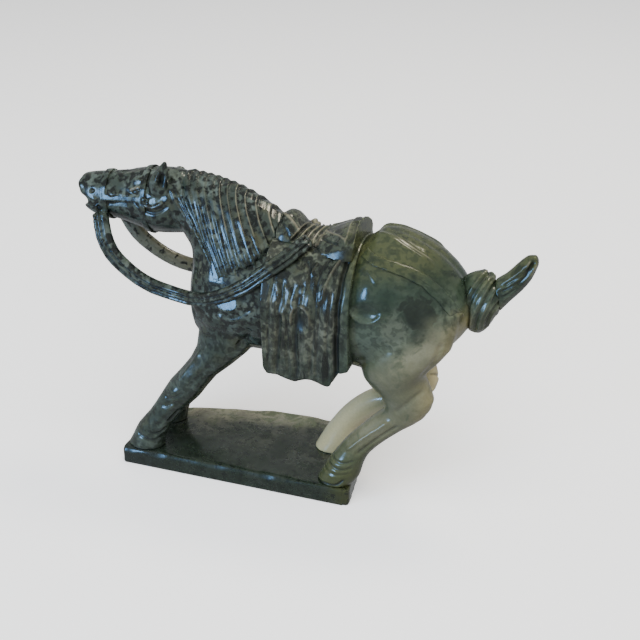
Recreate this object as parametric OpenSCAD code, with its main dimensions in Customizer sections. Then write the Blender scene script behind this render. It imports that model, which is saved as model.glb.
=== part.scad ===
// Tang style saddled horse on a rough slab, the shape of a figurine cut from one block of jade.
// The head points along -X, the left side of the horse faces -Y, and the slab rests on z = 0.
// Every carved element is a solid of its own, and neighbours meet face to face.

/* [Slab] */
// Length of the slab along the horse
base_l = 99; // [83:1:119]
// Thickness of the slab
base_t = 7.5; // [6:0.5:10]
// Depth of the slab on the left side of the horse
base_left = 19.5; // [18:0.5:26]
// Depth of the slab on the right side, at the forelegs
base_right_fore = 17; // [14:0.5:24]
// Depth of the slab on the right side, at the hind legs
base_right_hind = 29.5; // [20:0.5:32]

/* [Body] */
// Length of the trunk from the chest to the buttocks
trunk_l = 107; // [92:1:130]
// Height of the back above the slab
back_h = 99; // [84:1:119]
// Depth of the trunk from the back to the belly
trunk_d = 50; // [44:1:56]
// Width of the trunk
trunk_w = 40; // [34:1:48]
// Width of the neck just behind the ears
neck_w = 19; // [16:0.5:24]
// Height of the mane above the skin of the neck
mane_t = 1.2; // [0.8:0.1:2]

/* [Head] */
// Length of the head from the poll to the lips
head_l = 43; // [38:1:54]
// Width of the head across the cheeks
head_w = 19; // [16:0.5:23]
// Depth of the head at the jaw
head_d = 25; // [21:0.5:29]
// Length of an ear
ear_l = 11.5; // [9:0.5:13]
// Height of a bridle strap above the skin
strap_t = 0.7; // [0.6:0.1:1.4]
// Width of a bridle strap
strap_w = 2.8; // [2:0.2:4]

/* [Legs] */
// Width of a foreleg at the cannon
fore_cannon_w = 9.2; // [7:0.2:11]
// Width of a hind leg at the cannon
hind_cannon_w = 10; // [8:0.2:12]
// Length of a hoof along the horse
hoof_l = 15.5; // [13:0.5:18]
// Distance of the left hooves from the centre plane
left_stance = 13; // [11:0.5:15]
// Distance of the right hooves from the centre plane
right_stance = 8.5; // [7:0.5:12]

/* [Tack] */
// Thickness of the saddle cloth
cloth_t = 3; // [2:0.25:4]
// Length of the saddle cloth along the trunk
cloth_l = 33.5; // [26:1:38]
// Drop of the saddle cloth below the belly line
cloth_drop = 3.5; // [0:0.5:4]
// Width of a rein
rein_w = 6; // [4.5:0.25:7.5]
// Thickness of a rein
rein_t = 4.4; // [3.4:0.2:6]
// Sag of a rein below the line from the mouth to the saddle
rein_sag = 27.6; // [22:0.4:34]
// Height of the saddle arches above the seat
saddle_arch = 5; // [4:0.5:9]

/* [Tail] */
// Height of the bound knot of the tail
knot_h = 24; // [20:1:30]
// Length of the plume beyond the knot
plume_l = 20; // [16:1:25]

/* [Hidden] */

// The stone runs from nearly black at the head to pale grey green at the hind legs.
dark_stone = [0.14, 0.18, 0.15];
mid_stone = [0.28, 0.34, 0.26];
pale_stone = [0.52, 0.54, 0.44];

// Landmarks of the trunk, seen from the left side as [x, z].
chest_x = -19.5;
rump_x = chest_x + trunk_l;
back_z = base_t + back_h;
belly_z = back_z - trunk_d;
function along(t) = chest_x + t * trunk_l;

// Sides of a ring, and rings that round off each end of a form.
sides = 24;
cap_rings = 3;

// A section is [top x, top z, bottom x, bottom z, half width, centre y, pear shape].
// It spans the two outline points, and a positive pear shape is fuller below.
function ring_point(s, a, k, grow) =
    let (mid = [s[0] + s[2], s[1] + s[3]] / 2,
         up = [s[0] - s[2], s[1] - s[3]] / 2,
         size = norm(up),
         reach = up * (1 + grow / size) * k)
    [mid.x + reach.x * sin(a),
     s[5] + (s[4] + grow) * k * cos(a) * (1 - s[6] * sin(a)),
     mid.y + reach.y * sin(a)];
function blend(p, i, t) =
    let (a = p[max(i - 1, 0)], b = p[i], c = p[i + 1], d = p[min(i + 2, len(p) - 1)])
    (2 * b + (c - a) * t + (2 * a - 5 * b + 4 * c - d) * t * t
        + (3 * b - a - 3 * c + d) * t * t * t) / 2;
function refined(p, n) =
    [for (i = [0 : len(p) - 2]) for (j = [0 : n - 1]) blend(p, i, j / n), p[len(p) - 1]];
function centre(s) = [s[0] + s[2], s[1] + s[3]] / 2;
function shifted(s, d) = [s[0] + d.x, s[1] + d.y, s[2] + d.x, s[3] + d.y, s[4], s[5], s[6]];

// A closed form through a list of sections, with rounded ends of the given lengths.
module form(sections, steps = 3, grow = 0, cap = [2, 2]) {
    s = refined(sections, steps);
    last = len(s) - 1;
    head_way = centre(s[0]) - centre(s[1]);
    tail_way = centre(s[last]) - centre(s[last - 1]);
    rings = [
        for (i = [cap_rings : -1 : 1])
            [shifted(s[0], head_way / norm(head_way) * cap[0] * sin(i * 27)), cos(i * 27)],
        for (q = s) [q, 1],
        for (i = [1 : cap_rings])
            [shifted(s[last], tail_way / norm(tail_way) * cap[1] * sin(i * 27)), cos(i * 27)]
    ];
    points = [for (r = rings) for (i = [0 : sides - 1]) ring_point(r[0], i * 360 / sides, r[1], grow)];
    faces = [
        [for (i = [0 : sides - 1]) i],
        for (r = [0 : len(rings) - 2]) for (i = [0 : sides - 1])
            let (a = r * sides + i, b = r * sides + (i + 1) % sides)
            each [[a, a + sides, b], [b, a + sides, b + sides]],
        [for (i = [sides - 1 : -1 : 0]) (len(rings) - 1) * sides + i]
    ];
    polyhedron(points = points, faces = faces);
}

// ---------------------------------------------------------------- slab
// A corner is [x, y, radius, how far the top face runs out beyond the underside].
module slab_form() {
    corners = [
        [-base_l / 2, -base_left, 1.5, -0.6], [base_l / 2 - 2.8, -base_left, 1.5, 2.2],
        [base_l / 2 - 5, base_right_hind, 4, -0.6],
        [0, (base_right_fore + base_right_hind) / 2 + 4.5, 4, 0], [-base_l / 2, base_right_fore, 4, -0.6]
    ];
    hull() for (c = corners, top = [0, 1])
        translate([c.x + sign(c.x) * (top * c[3] - c[2]), c.y - sign(c.y) * (c[2] + top * 0.6), 0])
            cylinder(h = base_t - 1 + top, r = c[2], $fn = 24);
}
module base_slab() color(mid_stone) slab_form();

// ---------------------------------------------------------------- trunk and neck
trunk_sections = [
    [along(0.01), back_z - 16, along(0), back_z - 42, 8, 0, 0],
    [along(0.05), back_z - 6, along(0.02), belly_z + 2, 14, 0, 0],
    [along(0.13), back_z + 1, along(0.10), belly_z - 1, 0.45 * trunk_w, 0, 0],
    [along(0.24), back_z, along(0.22), belly_z - 1, 0.49 * trunk_w, 0, 0.05],
    [along(0.35), back_z - 3, along(0.34), belly_z - 0.5, 0.5 * trunk_w, 0, 0.08],
    [along(0.48), back_z - 5, along(0.47), belly_z, 0.5 * trunk_w, 0, 0.08],
    [along(0.61), back_z - 3, along(0.60), belly_z - 1, 0.5 * trunk_w, 0, 0.05],
    [along(0.70), back_z + 4.2, along(0.69), belly_z - 2.5, 0.51 * trunk_w, 0, 0],
    [along(0.80), back_z + 2.6, along(0.80), belly_z + 3, 0.5 * trunk_w, 0, 0],
    [along(0.90), back_z - 2.8, along(0.89), belly_z + 8, 0.45 * trunk_w, 0, 0],
    [along(0.97), back_z - 10, along(0.96), belly_z + 13, 0.34 * trunk_w, 0, 0],
    [along(1), back_z - 16, along(1), belly_z + 19, 0.2 * trunk_w, 0, 0]
];
module trunk_form(grow = 0) form(trunk_sections, 2, grow);
module trunk() color(mid_stone) trunk_form();

poll_x = chest_x - 2.5;
poll_z = back_z + 17.2;

// The crest of the neck runs from the poll to a little behind the fore edge of the saddle cloth.
crest_run = along(0.38785) - poll_x;
function crest(t) = poll_x + t * crest_run;
neck_sections = [
    [crest(0.0227), poll_z - 1, poll_x + 0.6, poll_z - head_d - 1.5, 0.45 * neck_w, 0, 0],
    [crest(0.2273), poll_z - 2, chest_x + 1, poll_z - 32, 0.53 * neck_w, 0, 0.1],
    [crest(0.4545), poll_z - 4.5, chest_x + 0.5, poll_z - 41, 0.32 * trunk_w, 0, 0.15],
    [crest(0.6591), poll_z - 8.5, chest_x + 1, poll_z - 51, 0.39 * trunk_w, 0, 0.15],
    [crest(0.8409), poll_z - 13.8, chest_x + 3, poll_z - 61, 0.43 * trunk_w, 0, 0.1],
    [crest(1), poll_z - 20.5, along(0.1121), poll_z - 65, 0.41 * trunk_w, 0, 0]
];
module neck_form(grow = 0) form(neck_sections, 3, grow);
module neck() color(dark_stone) difference() {
    neck_form();
    trunk_form();
}

// ---------------------------------------------------------------- head
// Sections of the head as [share at the brow, share at the jaw, top, depth, half width],
// from the lips to the poll.
head_shape = [
    [0.99, 0.93, -5.4, 0.6, 0.34], [0.89, 0.86, -4.4, 0.69, 0.38], [0.74, 0.73, -3.5, 0.74, 0.37],
    [0.58, 0.58, -2.4, 0.82, 0.4], [0.44, 0.44, -1.2, 0.93, 0.45], [0.3, 0.3, 0, 1.03, 0.5],
    [0.13, 0.13, 0.5, 1.03, 0.5], [0, 0, 0, 0.98, 0.46]
];
head_sections = [for (s = head_shape)
    [poll_x - s[0] * head_l, poll_z + s[2],
     poll_x - s[1] * head_l, poll_z + s[2] - s[3] * head_d, s[4] * head_w, 0, 0.08]];
function head_at(t, drop) = [poll_x - t * head_l, poll_z - drop * head_d];
module head_form(grow = 0) form(head_sections, 2, grow, [2.6, 1]);
module head() color(dark_stone) difference() {
    head_form();
    neck_form();
    trunk_form();
    lips = head_at(0.94, 0.57);
    hull() {
        translate([lips.x, -head_w, lips.y]) rotate([-90, 0, 0])
            cylinder(h = 2 * head_w, r = 1.4, $fn = 24);
        translate([lips.x - 6, -head_w, lips.y - 0.6]) rotate([-90, 0, 0])
            cylinder(h = 2 * head_w, r = 4.2, $fn = 24);
    }
}

// One ear stands on each side of the poll; the right one is laid back lower than the left.
module ear_form(side) {
    foot = head_at(0.18, 0.3) - [0, side > 0 ? 3.5 : 0];
    y = side * 0.41 * head_w;
    tip = [foot.x + 2.6, foot.y + ear_l - (side > 0 ? 2 : 0)];
    form([
        [foot.x - 3.6, foot.y, foot.x + 3.4, foot.y, 1.7, y * 1.02, 0],
        [foot.x - 3.4, foot.y + 0.4 * ear_l, foot.x + 4.2, foot.y + 0.43 * ear_l, 2, y * 1.05, 0],
        [foot.x - 1.2, foot.y + 0.72 * ear_l, foot.x + 4.4, foot.y + 0.76 * ear_l, 1.8, y * 0.95, 0],
        [tip.x - 1.1, tip.y, tip.x + 1.1, tip.y + 0.2, 0.9, y * 0.8, 0]
    ], 2, 0, [0.5, 0.9]);
}
module ear(side) color(dark_stone) difference() {
    ear_form(side);
    head_form();
    neck_form();
}

// Bridle straps are bands of the head's own form, raised above the skin.
noseband = 0.74;
headband = 0.33;
module bridle_form() intersection() {
    head_form(strap_t);
    union() {
        for (t = [headband, noseband])
            translate([poll_x - t * head_l - strap_w / 2, -head_w, poll_z - 2 * head_d])
                cube([strap_w, 2 * head_w, 3 * head_d]);
        for (side = [-1, 1])
            translate([0, side * 0.6 * head_w, 0]) rotate([90, 0, 0])
                linear_extrude(height = head_w, center = true)
                    polygon([
                        head_at(noseband, 0.43), head_at(headband, 0.36),
                        head_at(headband, 0.46), head_at(noseband, 0.54)
                    ]);
    }
}
module bridle() color(dark_stone) difference() {
    bridle_form();
    head_form();
    ear_form(-1);
    ear_form(1);
}

// The mane lies over the crest and falls down both sides of the neck.
module mane_form() intersection() {
    neck_form(mane_t);
    rotate([90, 0, 0]) linear_extrude(height = 2 * trunk_w, center = true)
        polygon([
            [poll_x + 1, poll_z + 4], [poll_x + 1, poll_z - 7], [crest(0.1818), poll_z - 20],
            [crest(0.3409), poll_z - 29], [crest(0.4091), poll_z - 38], [crest(0.6364), poll_z - 35],
            [crest(0.8182), poll_z - 27], [crest(0.9091), poll_z - 19], [crest(0.9091), poll_z + 4]
        ]);
}
module mane() color(dark_stone) difference() {
    mane_form();
    neck_form();
    trunk_form();
    head_form();
    cloth_form();
}

// ---------------------------------------------------------------- legs
// A joint of a leg is [share of the way down, shift along x, half depth, tilt, half width,
// share of the root, share of the stance, share of the lead]. The root is how far the top of the
// leg lies from the centre plane.
function stance(side) = side < 0 ? min(left_stance, base_left - 0.42 * hoof_l) : right_stance;
function leg_sections(top, foot, joints, side, root, lead) =
    [for (j = joints)
        let (c = top + (foot - top) * j[0] + [j[1] - lead * j[7], 0],
             d = j[2] * [cos(j[3]), sin(j[3])])
        [c.x + d.x, c.y + d.y, c.x - d.x, c.y - d.y, j[4],
            side * (root * j[5] + stance(side) * j[6]), 0]];

fore_foot_x = -base_l / 2 + hoof_l / 2 + 1;
fore_top = [chest_x + 18.5, belly_z + 16.5];
fore_joints = [
    [0, 0, 13.5, -4, 0.1875 * trunk_w, 1, 0, 1],
    [0.25, 5.2, 10.8, 1, 0.19 * trunk_w, 0.5, 0.41, 0.8],
    [0.42, 2.3, 7.2, -8, 6.6, 0, 0.82, 0.2],
    [0.55, 0.9, 6.8, -24, 6, 0, 0.9, 0],
    [0.66, -0.4, fore_cannon_w * 0.62, -29, fore_cannon_w * 0.53, 0, 0.96, 0],
    [0.78, -1.1, fore_cannon_w * 0.58, -26, fore_cannon_w * 0.5, 0, 1, 0],
    [0.87, -1.7, fore_cannon_w * 0.68, -14, fore_cannon_w * 0.57, 0, 1, 0],
    [0.95, -0.7, hoof_l * 0.46, -4, hoof_l * 0.37, 0, 1, 0],
    [1, 0, hoof_l * 0.51, 0, hoof_l * 0.4, 0, 1, 0]
];
// The right shoulder stands a little ahead of the left one.
right_fore_lead = 2.5;
module foreleg_form(side) {
    foot = [fore_foot_x, base_t];
    lead = side < 0 ? 0 : right_fore_lead;
    root = trunk_w * (side < 0 ? 0.2015 : 0.13175);
    form(leg_sections(fore_top, foot, fore_joints, side, root, lead), 2, 0, [2, 0.01]);
}

hind_foot_x = base_l / 2 - hoof_l / 2 - 0.2;
hind_top = [rump_x - 18.5, back_z - 21.5];
hind_joints = [
    [0, 0, 18, 3, 0.2125 * trunk_w, 1, 0, 0],
    [0.21, 3.6, 17.2, 8, 0.225 * trunk_w, 1, 0.05, 0],
    [0.34, 4.6, 13, 15, 0.22 * trunk_w, 0.6, 0.35, 0],
    [0.41, 8.6, 9.8, 27, 7.8, 0.2, 0.61, 0.1],
    [0.5, 13.8, 9.8, 14, 6.8, 0, 0.72, 0.2],
    [0.57, 13.8, 8, -3, 6, 0, 0.72, 0.28],
    [0.62, 10.5, 6.1, -22, hind_cannon_w * 0.54, 0, 0.76, 0.8],
    [0.69, 6.5, 5.4, -31, hind_cannon_w * 0.5, 0, 0.84, 1],
    [0.77, 2.9, 5.4, -28, hind_cannon_w * 0.5, 0, 0.92, 1],
    [0.85, 1.4, 6.2, -14, hind_cannon_w * 0.54, 0, 0.98, 1],
    [0.93, 1, hoof_l * 0.47, -8, hoof_l * 0.38, 0, 1, 1],
    [1, 0, hoof_l * 0.48, 0, hoof_l * 0.4, 0, 1, 1]
];
// The right hind cannon and hoof stand a little ahead of the left ones.
right_hind_lead = 8;
module hind_leg_form(side) {
    foot = [hind_foot_x, base_t];
    lead = side < 0 ? 0 : right_hind_lead;
    root = trunk_w * (side < 0 ? 0.24375 : 0.159375);
    form(leg_sections(hind_top, foot, hind_joints, side, root, lead), 2, 0, [2, 0.01]);
}
module foreleg(side) color(dark_stone) difference() {
    foreleg_form(side);
    trunk_form();
    neck_form();
    if (side > 0) foreleg_form(-1);
}
module hind_leg(side) color(pale_stone) difference() {
    hind_leg_form(side);
    trunk_form();
    if (side > 0) hind_leg_form(-1);
}

// ---------------------------------------------------------------- saddle and cloth
cloth_x = along(0.325);
cloth_hem_z = belly_z - cloth_drop;
cloth_wide_z = back_z - 24;
module cloth_form() {
    half = trunk_w / 2 + cloth_t;
    rise = back_z - 1.8 + cloth_t / 2 - cloth_wide_z;
    arch = concat(
        [[half - 1.5, cloth_hem_z + 1.5], [half - 3, cloth_hem_z]],
        [[3 - half, cloth_hem_z], [1.5 - half, cloth_hem_z + 1.5]],
        [for (a = [180 : -7.5 : 0]) [half * cos(a), cloth_wide_z + rise * sin(a)]]
    );
    side_view = [
        [0, back_z + 20], [0, cloth_hem_z + 5], [2, cloth_hem_z + 1], [8, cloth_hem_z],
        [0.7 * cloth_l, cloth_hem_z], [0.79 * cloth_l, cloth_hem_z + 1],
        [0.88 * cloth_l, cloth_hem_z + 6.5], [cloth_l, cloth_hem_z + 8.5], [cloth_l, back_z + 20]
    ];
    intersection() {
        translate([cloth_x, 0, 0]) rotate([90, 0, 90]) linear_extrude(height = cloth_l) polygon(arch);
        translate([cloth_x, 0, 0]) rotate([90, 0, 0])
            linear_extrude(height = 2 * half + 2, center = true) polygon(side_view);
    }
}
module saddle_cloth() color(dark_stone) difference() {
    cloth_form();
    trunk_form();
    neck_form();
    // The underside stays open between the two flaps.
    translate([cloth_x - 1, -trunk_w * 0.3, cloth_hem_z - 1]) cube([cloth_l + 2, trunk_w * 0.6, 16]);
    for (side = [-1, 1]) hind_leg_form(side);
}

// The saddle is [share of the cloth's length, height above the back, half width].
saddle_shape = [
    [-0.02, 1.5, 8.5], [0.08, saddle_arch + 0.8, 10], [0.19, saddle_arch + 1, 10.5],
    [0.31, 1.4, 11.5], [0.48, 0.6, 13], [0.66, 2.2, 14], [0.82, saddle_arch - 0.2, 14.5],
    [0.94, saddle_arch + 0.4, 14.2],
    [1 - 0.8 / cloth_l, 1, 12.5]
];
module saddle_form() {
    form([for (s = saddle_shape)
        let (x = cloth_x + s[0] * cloth_l)
        [x, back_z + s[1], x, back_z - 20, s[2], 0, -0.1]], 3, 0, [1.5, 0.6]);
}
module saddle() color(dark_stone) difference() {
    saddle_form();
    cloth_form();
    trunk_form();
    neck_form();
    mane_form();
}

// A crupper strap runs from behind the saddle over each side of the rump to the knot of the tail.
crupper_route = [
    [along(0.655), back_z - 2.2], [along(0.71), back_z - 3.2], [along(0.76), back_z - 4.2],
    [along(0.82), back_z - 5.8], [along(0.875), back_z - 8.4], [rump_x - 8.03, back_z - 12.8],
    [rump_x - 4.28, back_z - 17.6], [rump_x - 1.07, back_z - 23]
];
module crupper_form(side) intersection() {
    trunk_form(strap_t);
    translate([0, side * trunk_w / 2, 0]) rotate([90, 0, 0])
        linear_extrude(height = 0.9 * trunk_w, center = true)
            polygon(concat(
                [for (p = crupper_route) p + [0.35, 0.5] * strap_w],
                [for (i = [len(crupper_route) - 1 : -1 : 0]) crupper_route[i] - [0.35, 0.5] * strap_w]
            ));
}
module crupper(side) color(mid_stone) difference() {
    crupper_form(side);
    trunk_form();
    saddle_form();
    cloth_form();
    knot_form();
    hind_leg_form(side);
}

// ---------------------------------------------------------------- reins
// Each rein is a band that leaves the mouth, hangs clear in front of the chest and lies back to the saddle.
// A station is [share of the way from the mouth to the saddle, share of the sag, share of the
// head's width, share of the trunk's width, breadth]; the last two are added for its side offset.
rein_mouth = head_at(0.76744, 0.728);
rein_rest = [cloth_x + 0.43955 * cloth_l, back_z + 0.1];
rein_stations = [
    [0, 0, 0.421, 0, 1.1], [0.02, 0.2907, 0.3, 0.1075, 1.2], [0.0588, 0.5277, 0.25, 0.1563, 1.15],
    [0.1153, 0.6894, 0.2, 0.1925, 1.1], [0.1882, 0.8372, 0.15, 0.2288, 1.05],
    [0.2682, 0.9346, 0.1, 0.265, 1.05], [0.3588, 0.9853, 0.05, 0.3013, 1],
    [0.4471, 0.9997, 0, 0.3625, 1], [0.5412, 0.9455, 0, 0.425, 1], [0.6471, 0.8084, 0, 0.475, 1],
    [0.76, 0.5991, 0, 0.5, 1], [0.8659, 0.3388, 0, 0.475, 1], [0.9412, 0.1643, 0, 0.4, 0.95],
    [1, 0, 0, 0.2875, 0.9]
];
rein_route = [for (s = rein_stations)
    let (p = rein_mouth + (rein_rest - rein_mouth) * s[0])
    [p.x, s[2] * head_w + s[3] * trunk_w, p.y - s[1] * rein_sag, s[4]]];
function rein_sections(side) =
    let (last = len(rein_route) - (side < 0 ? 1 : 2))
    [for (i = [0 : last])
        let (a = rein_route[max(i - 1, 0)], b = rein_route[min(i + 1, last)],
             run = [b.x - a.x, b.z - a.z], p = rein_route[i],
             n = [-run.y, run.x] / norm(run) * p[3] * rein_w / 2)
        [p.x + n.x, p.z + n.y, p.x - n.x, p.z - n.y, rein_t / 2, side * p.y, 0]];
module rein_form(side) form(rein_sections(side), 2, 0, [0.5, 0.5]);
module rein(side) color(dark_stone) difference() {
    rein_form(side);
    head_form();
    bridle_form();
    neck_form();
    mane_form();
    trunk_form();
    cloth_form();
    saddle_form();
}

// ---------------------------------------------------------------- tail
knot_x = rump_x - 1.4;
knot_z = back_z - 19.8;
module knot_form() form([
    [knot_x, knot_z + 0.42 * knot_h, knot_x, knot_z - 0.42 * knot_h, 5, 0, 0],
    [knot_x + 2.5, knot_z + 0.47 * knot_h, knot_x + 2.5, knot_z - 0.49 * knot_h, 7.5, 0, 0],
    [knot_x + 6, knot_z + 0.5 * knot_h, knot_x + 6, knot_z - 0.5 * knot_h, 8.4, 0, 0],
    [knot_x + 9, knot_z + 0.44 * knot_h, knot_x + 9, knot_z - 0.37 * knot_h, 7.6, 0, 0],
    [knot_x + 11, knot_z + 0.32 * knot_h, knot_x + 11, knot_z - 0.2 * knot_h, 5.6, 0, 0]
], 2);
module tail_knot() color(mid_stone) difference() {
    knot_form();
    trunk_form();
}
plume_x = knot_x + 8;
module plume_form() form([
    [plume_x, knot_z + 8, plume_x + 3, knot_z - 4.5, 5, 0, 0],
    [plume_x + 0.26 * plume_l, knot_z + 12, plume_x + 0.39 * plume_l, knot_z + 2, 4.5, 0, 0],
    [plume_x + 0.43 * plume_l, knot_z + 16, plume_x + 0.57 * plume_l, knot_z + 6.4, 4.2, 0, 0],
    [plume_x + 0.6 * plume_l, knot_z + 19.6, plume_x + 0.72 * plume_l, knot_z + 11.2, 3.7, 0, 0],
    [plume_x + 0.71 * plume_l, knot_z + 20, plume_x + 0.8 * plume_l, knot_z + 16, 2.6, 0, 0]
], 2, 0, [1, 1.2]);
module tail_plume() color(mid_stone) difference() {
    plume_form();
    knot_form();
    trunk_form();
}

base_slab();
trunk();
neck();
head();
ear(-1);  // left_ear
ear(1);  // right_ear
bridle();
mane();
foreleg(-1);  // left_foreleg
foreleg(1);  // right_foreleg
hind_leg(-1);  // left_hind_leg
hind_leg(1);  // right_hind_leg
saddle_cloth();
saddle();
crupper(-1);  // left_crupper
crupper(1);  // right_crupper
rein(-1);  // left_rein
rein(1);  // right_rein
tail_knot();
tail_plume();
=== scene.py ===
"""A saddled horse carved from one block of green jade, braced on its slab.

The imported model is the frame: every piece here is cut from a copy of its
nodes, refined, worked with a chisel and polished. Lengths are in millimetres
while a piece is worked and in metres on the finished mesh.
"""

import logging
import math
from dataclasses import dataclass, field
from enum import Enum
from typing import Sequence, Union

import bpy
import numpy as np
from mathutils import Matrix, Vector


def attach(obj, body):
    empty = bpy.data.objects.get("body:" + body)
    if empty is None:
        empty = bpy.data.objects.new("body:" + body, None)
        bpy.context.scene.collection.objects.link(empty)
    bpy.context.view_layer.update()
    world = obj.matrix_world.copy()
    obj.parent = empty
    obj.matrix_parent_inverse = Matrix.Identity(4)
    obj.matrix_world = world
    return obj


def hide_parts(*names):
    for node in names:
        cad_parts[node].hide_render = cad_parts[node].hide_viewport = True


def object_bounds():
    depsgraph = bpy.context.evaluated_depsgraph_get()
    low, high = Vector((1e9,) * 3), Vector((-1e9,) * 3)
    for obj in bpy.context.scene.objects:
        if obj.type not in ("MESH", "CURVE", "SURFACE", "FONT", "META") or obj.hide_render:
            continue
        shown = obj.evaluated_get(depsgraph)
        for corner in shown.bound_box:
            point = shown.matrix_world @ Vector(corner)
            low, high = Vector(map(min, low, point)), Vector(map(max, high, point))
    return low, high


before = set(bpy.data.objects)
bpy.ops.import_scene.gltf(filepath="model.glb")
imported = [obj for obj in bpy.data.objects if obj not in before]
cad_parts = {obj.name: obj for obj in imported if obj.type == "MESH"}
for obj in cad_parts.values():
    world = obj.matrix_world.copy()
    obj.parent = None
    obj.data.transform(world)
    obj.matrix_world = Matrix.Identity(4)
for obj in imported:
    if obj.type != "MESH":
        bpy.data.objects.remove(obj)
PACKED_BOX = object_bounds()

LOG = logging.getLogger("jade_horse")
MM = 0.001
POLISH_DEPTH = 0.62
MERGE_DISTANCE = 0.000002
MOST_TRIANGLES = 190000
Point = tuple[float, float, float]
Colour = tuple[float, float, float, float]
WINDOW_FACING: Point = (-0.2, -0.92, 0.33)


def stone(red: int, green: int, blue: int) -> Colour:
    """Turn a colour as the eye names it into the linear colour of polished stone.

    Args:
        red: The red share, 0 to 255.
        green: The green share, 0 to 255.
        blue: The blue share, 0 to 255.

    Returns:
        The linear colour with full alpha.
    """
    parts = []
    for part in (red, green, blue):
        share = part / 255.0
        plain = share / 12.92 if share <= 0.04045 else ((share + 0.055) / 1.055) ** 2.4
        parts.append(plain * POLISH_DEPTH)
    return (parts[0], parts[1], parts[2], 1.0)


def ease(value: np.ndarray, low: float, high: float) -> np.ndarray:
    """Rise smoothly from 0 at low to 1 at high.

    Args:
        value: The numbers to grade.
        low: Where the rise starts.
        high: Where the rise ends.

    Returns:
        The graded numbers, 0 to 1.
    """
    share = np.clip((value - low) / (high - low), 0.0, 1.0)
    return share * share * (3.0 - 2.0 * share)


# ------------------------------------------------------------------ shaders
class Wire:
    """A socket of a shader graph that can be reckoned with."""

    def __init__(self, graph: "Graph", socket: bpy.types.NodeSocket) -> None:
        """Keep the graph and the socket."""
        self.graph = graph
        self.socket = socket

    def reckon(self, operation: str, first: "Value", second: "Value") -> "Wire":
        """Add one Math node for an operation on two values."""
        return self.graph.node("ShaderNodeMath", {"operation": operation}, {0: first, 1: second})

    def __add__(self, other: "Value") -> "Wire":
        """Add a value."""
        return self.reckon("ADD", self, other)

    def __radd__(self, other: "Value") -> "Wire":
        """Add to a value."""
        return self.reckon("ADD", other, self)

    def __sub__(self, other: "Value") -> "Wire":
        """Take a value away."""
        return self.reckon("SUBTRACT", self, other)

    def __rsub__(self, other: "Value") -> "Wire":
        """Take this away from a value."""
        return self.reckon("SUBTRACT", other, self)

    def __mul__(self, other: "Value") -> "Wire":
        """Multiply by a value."""
        return self.reckon("MULTIPLY", self, other)

    def __rmul__(self, other: "Value") -> "Wire":
        """Multiply a value by this."""
        return self.reckon("MULTIPLY", other, self)

    def __truediv__(self, other: "Value") -> "Wire":
        """Divide by a value."""
        return self.reckon("DIVIDE", self, other)

    def smaller(self, other: "Value") -> "Wire":
        """Take the smaller of this and a value."""
        return self.reckon("MINIMUM", self, other)

    def larger(self, other: "Value") -> "Wire":
        """Take the larger of this and a value."""
        return self.reckon("MAXIMUM", self, other)

    def rise(self, low: float, high: float) -> "Wire":
        """Rise smoothly from 0 at low to 1 at high.

        Args:
            low: Where the rise starts.
            high: Where the rise ends, above or below low.

        Returns:
            The graded value, 0 to 1.
        """
        falling = high < low
        ends = {"From Min": min(low, high), "From Max": max(low, high)}
        ends["To Min"] = 1.0 if falling else 0.0
        ends["To Max"] = 0.0 if falling else 1.0
        return self.graph.node("ShaderNodeMapRange", {"interpolation_type": "SMOOTHSTEP"},
                               {"Value": self, **ends})


Value = Union[Wire, float, int, tuple]


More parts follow.
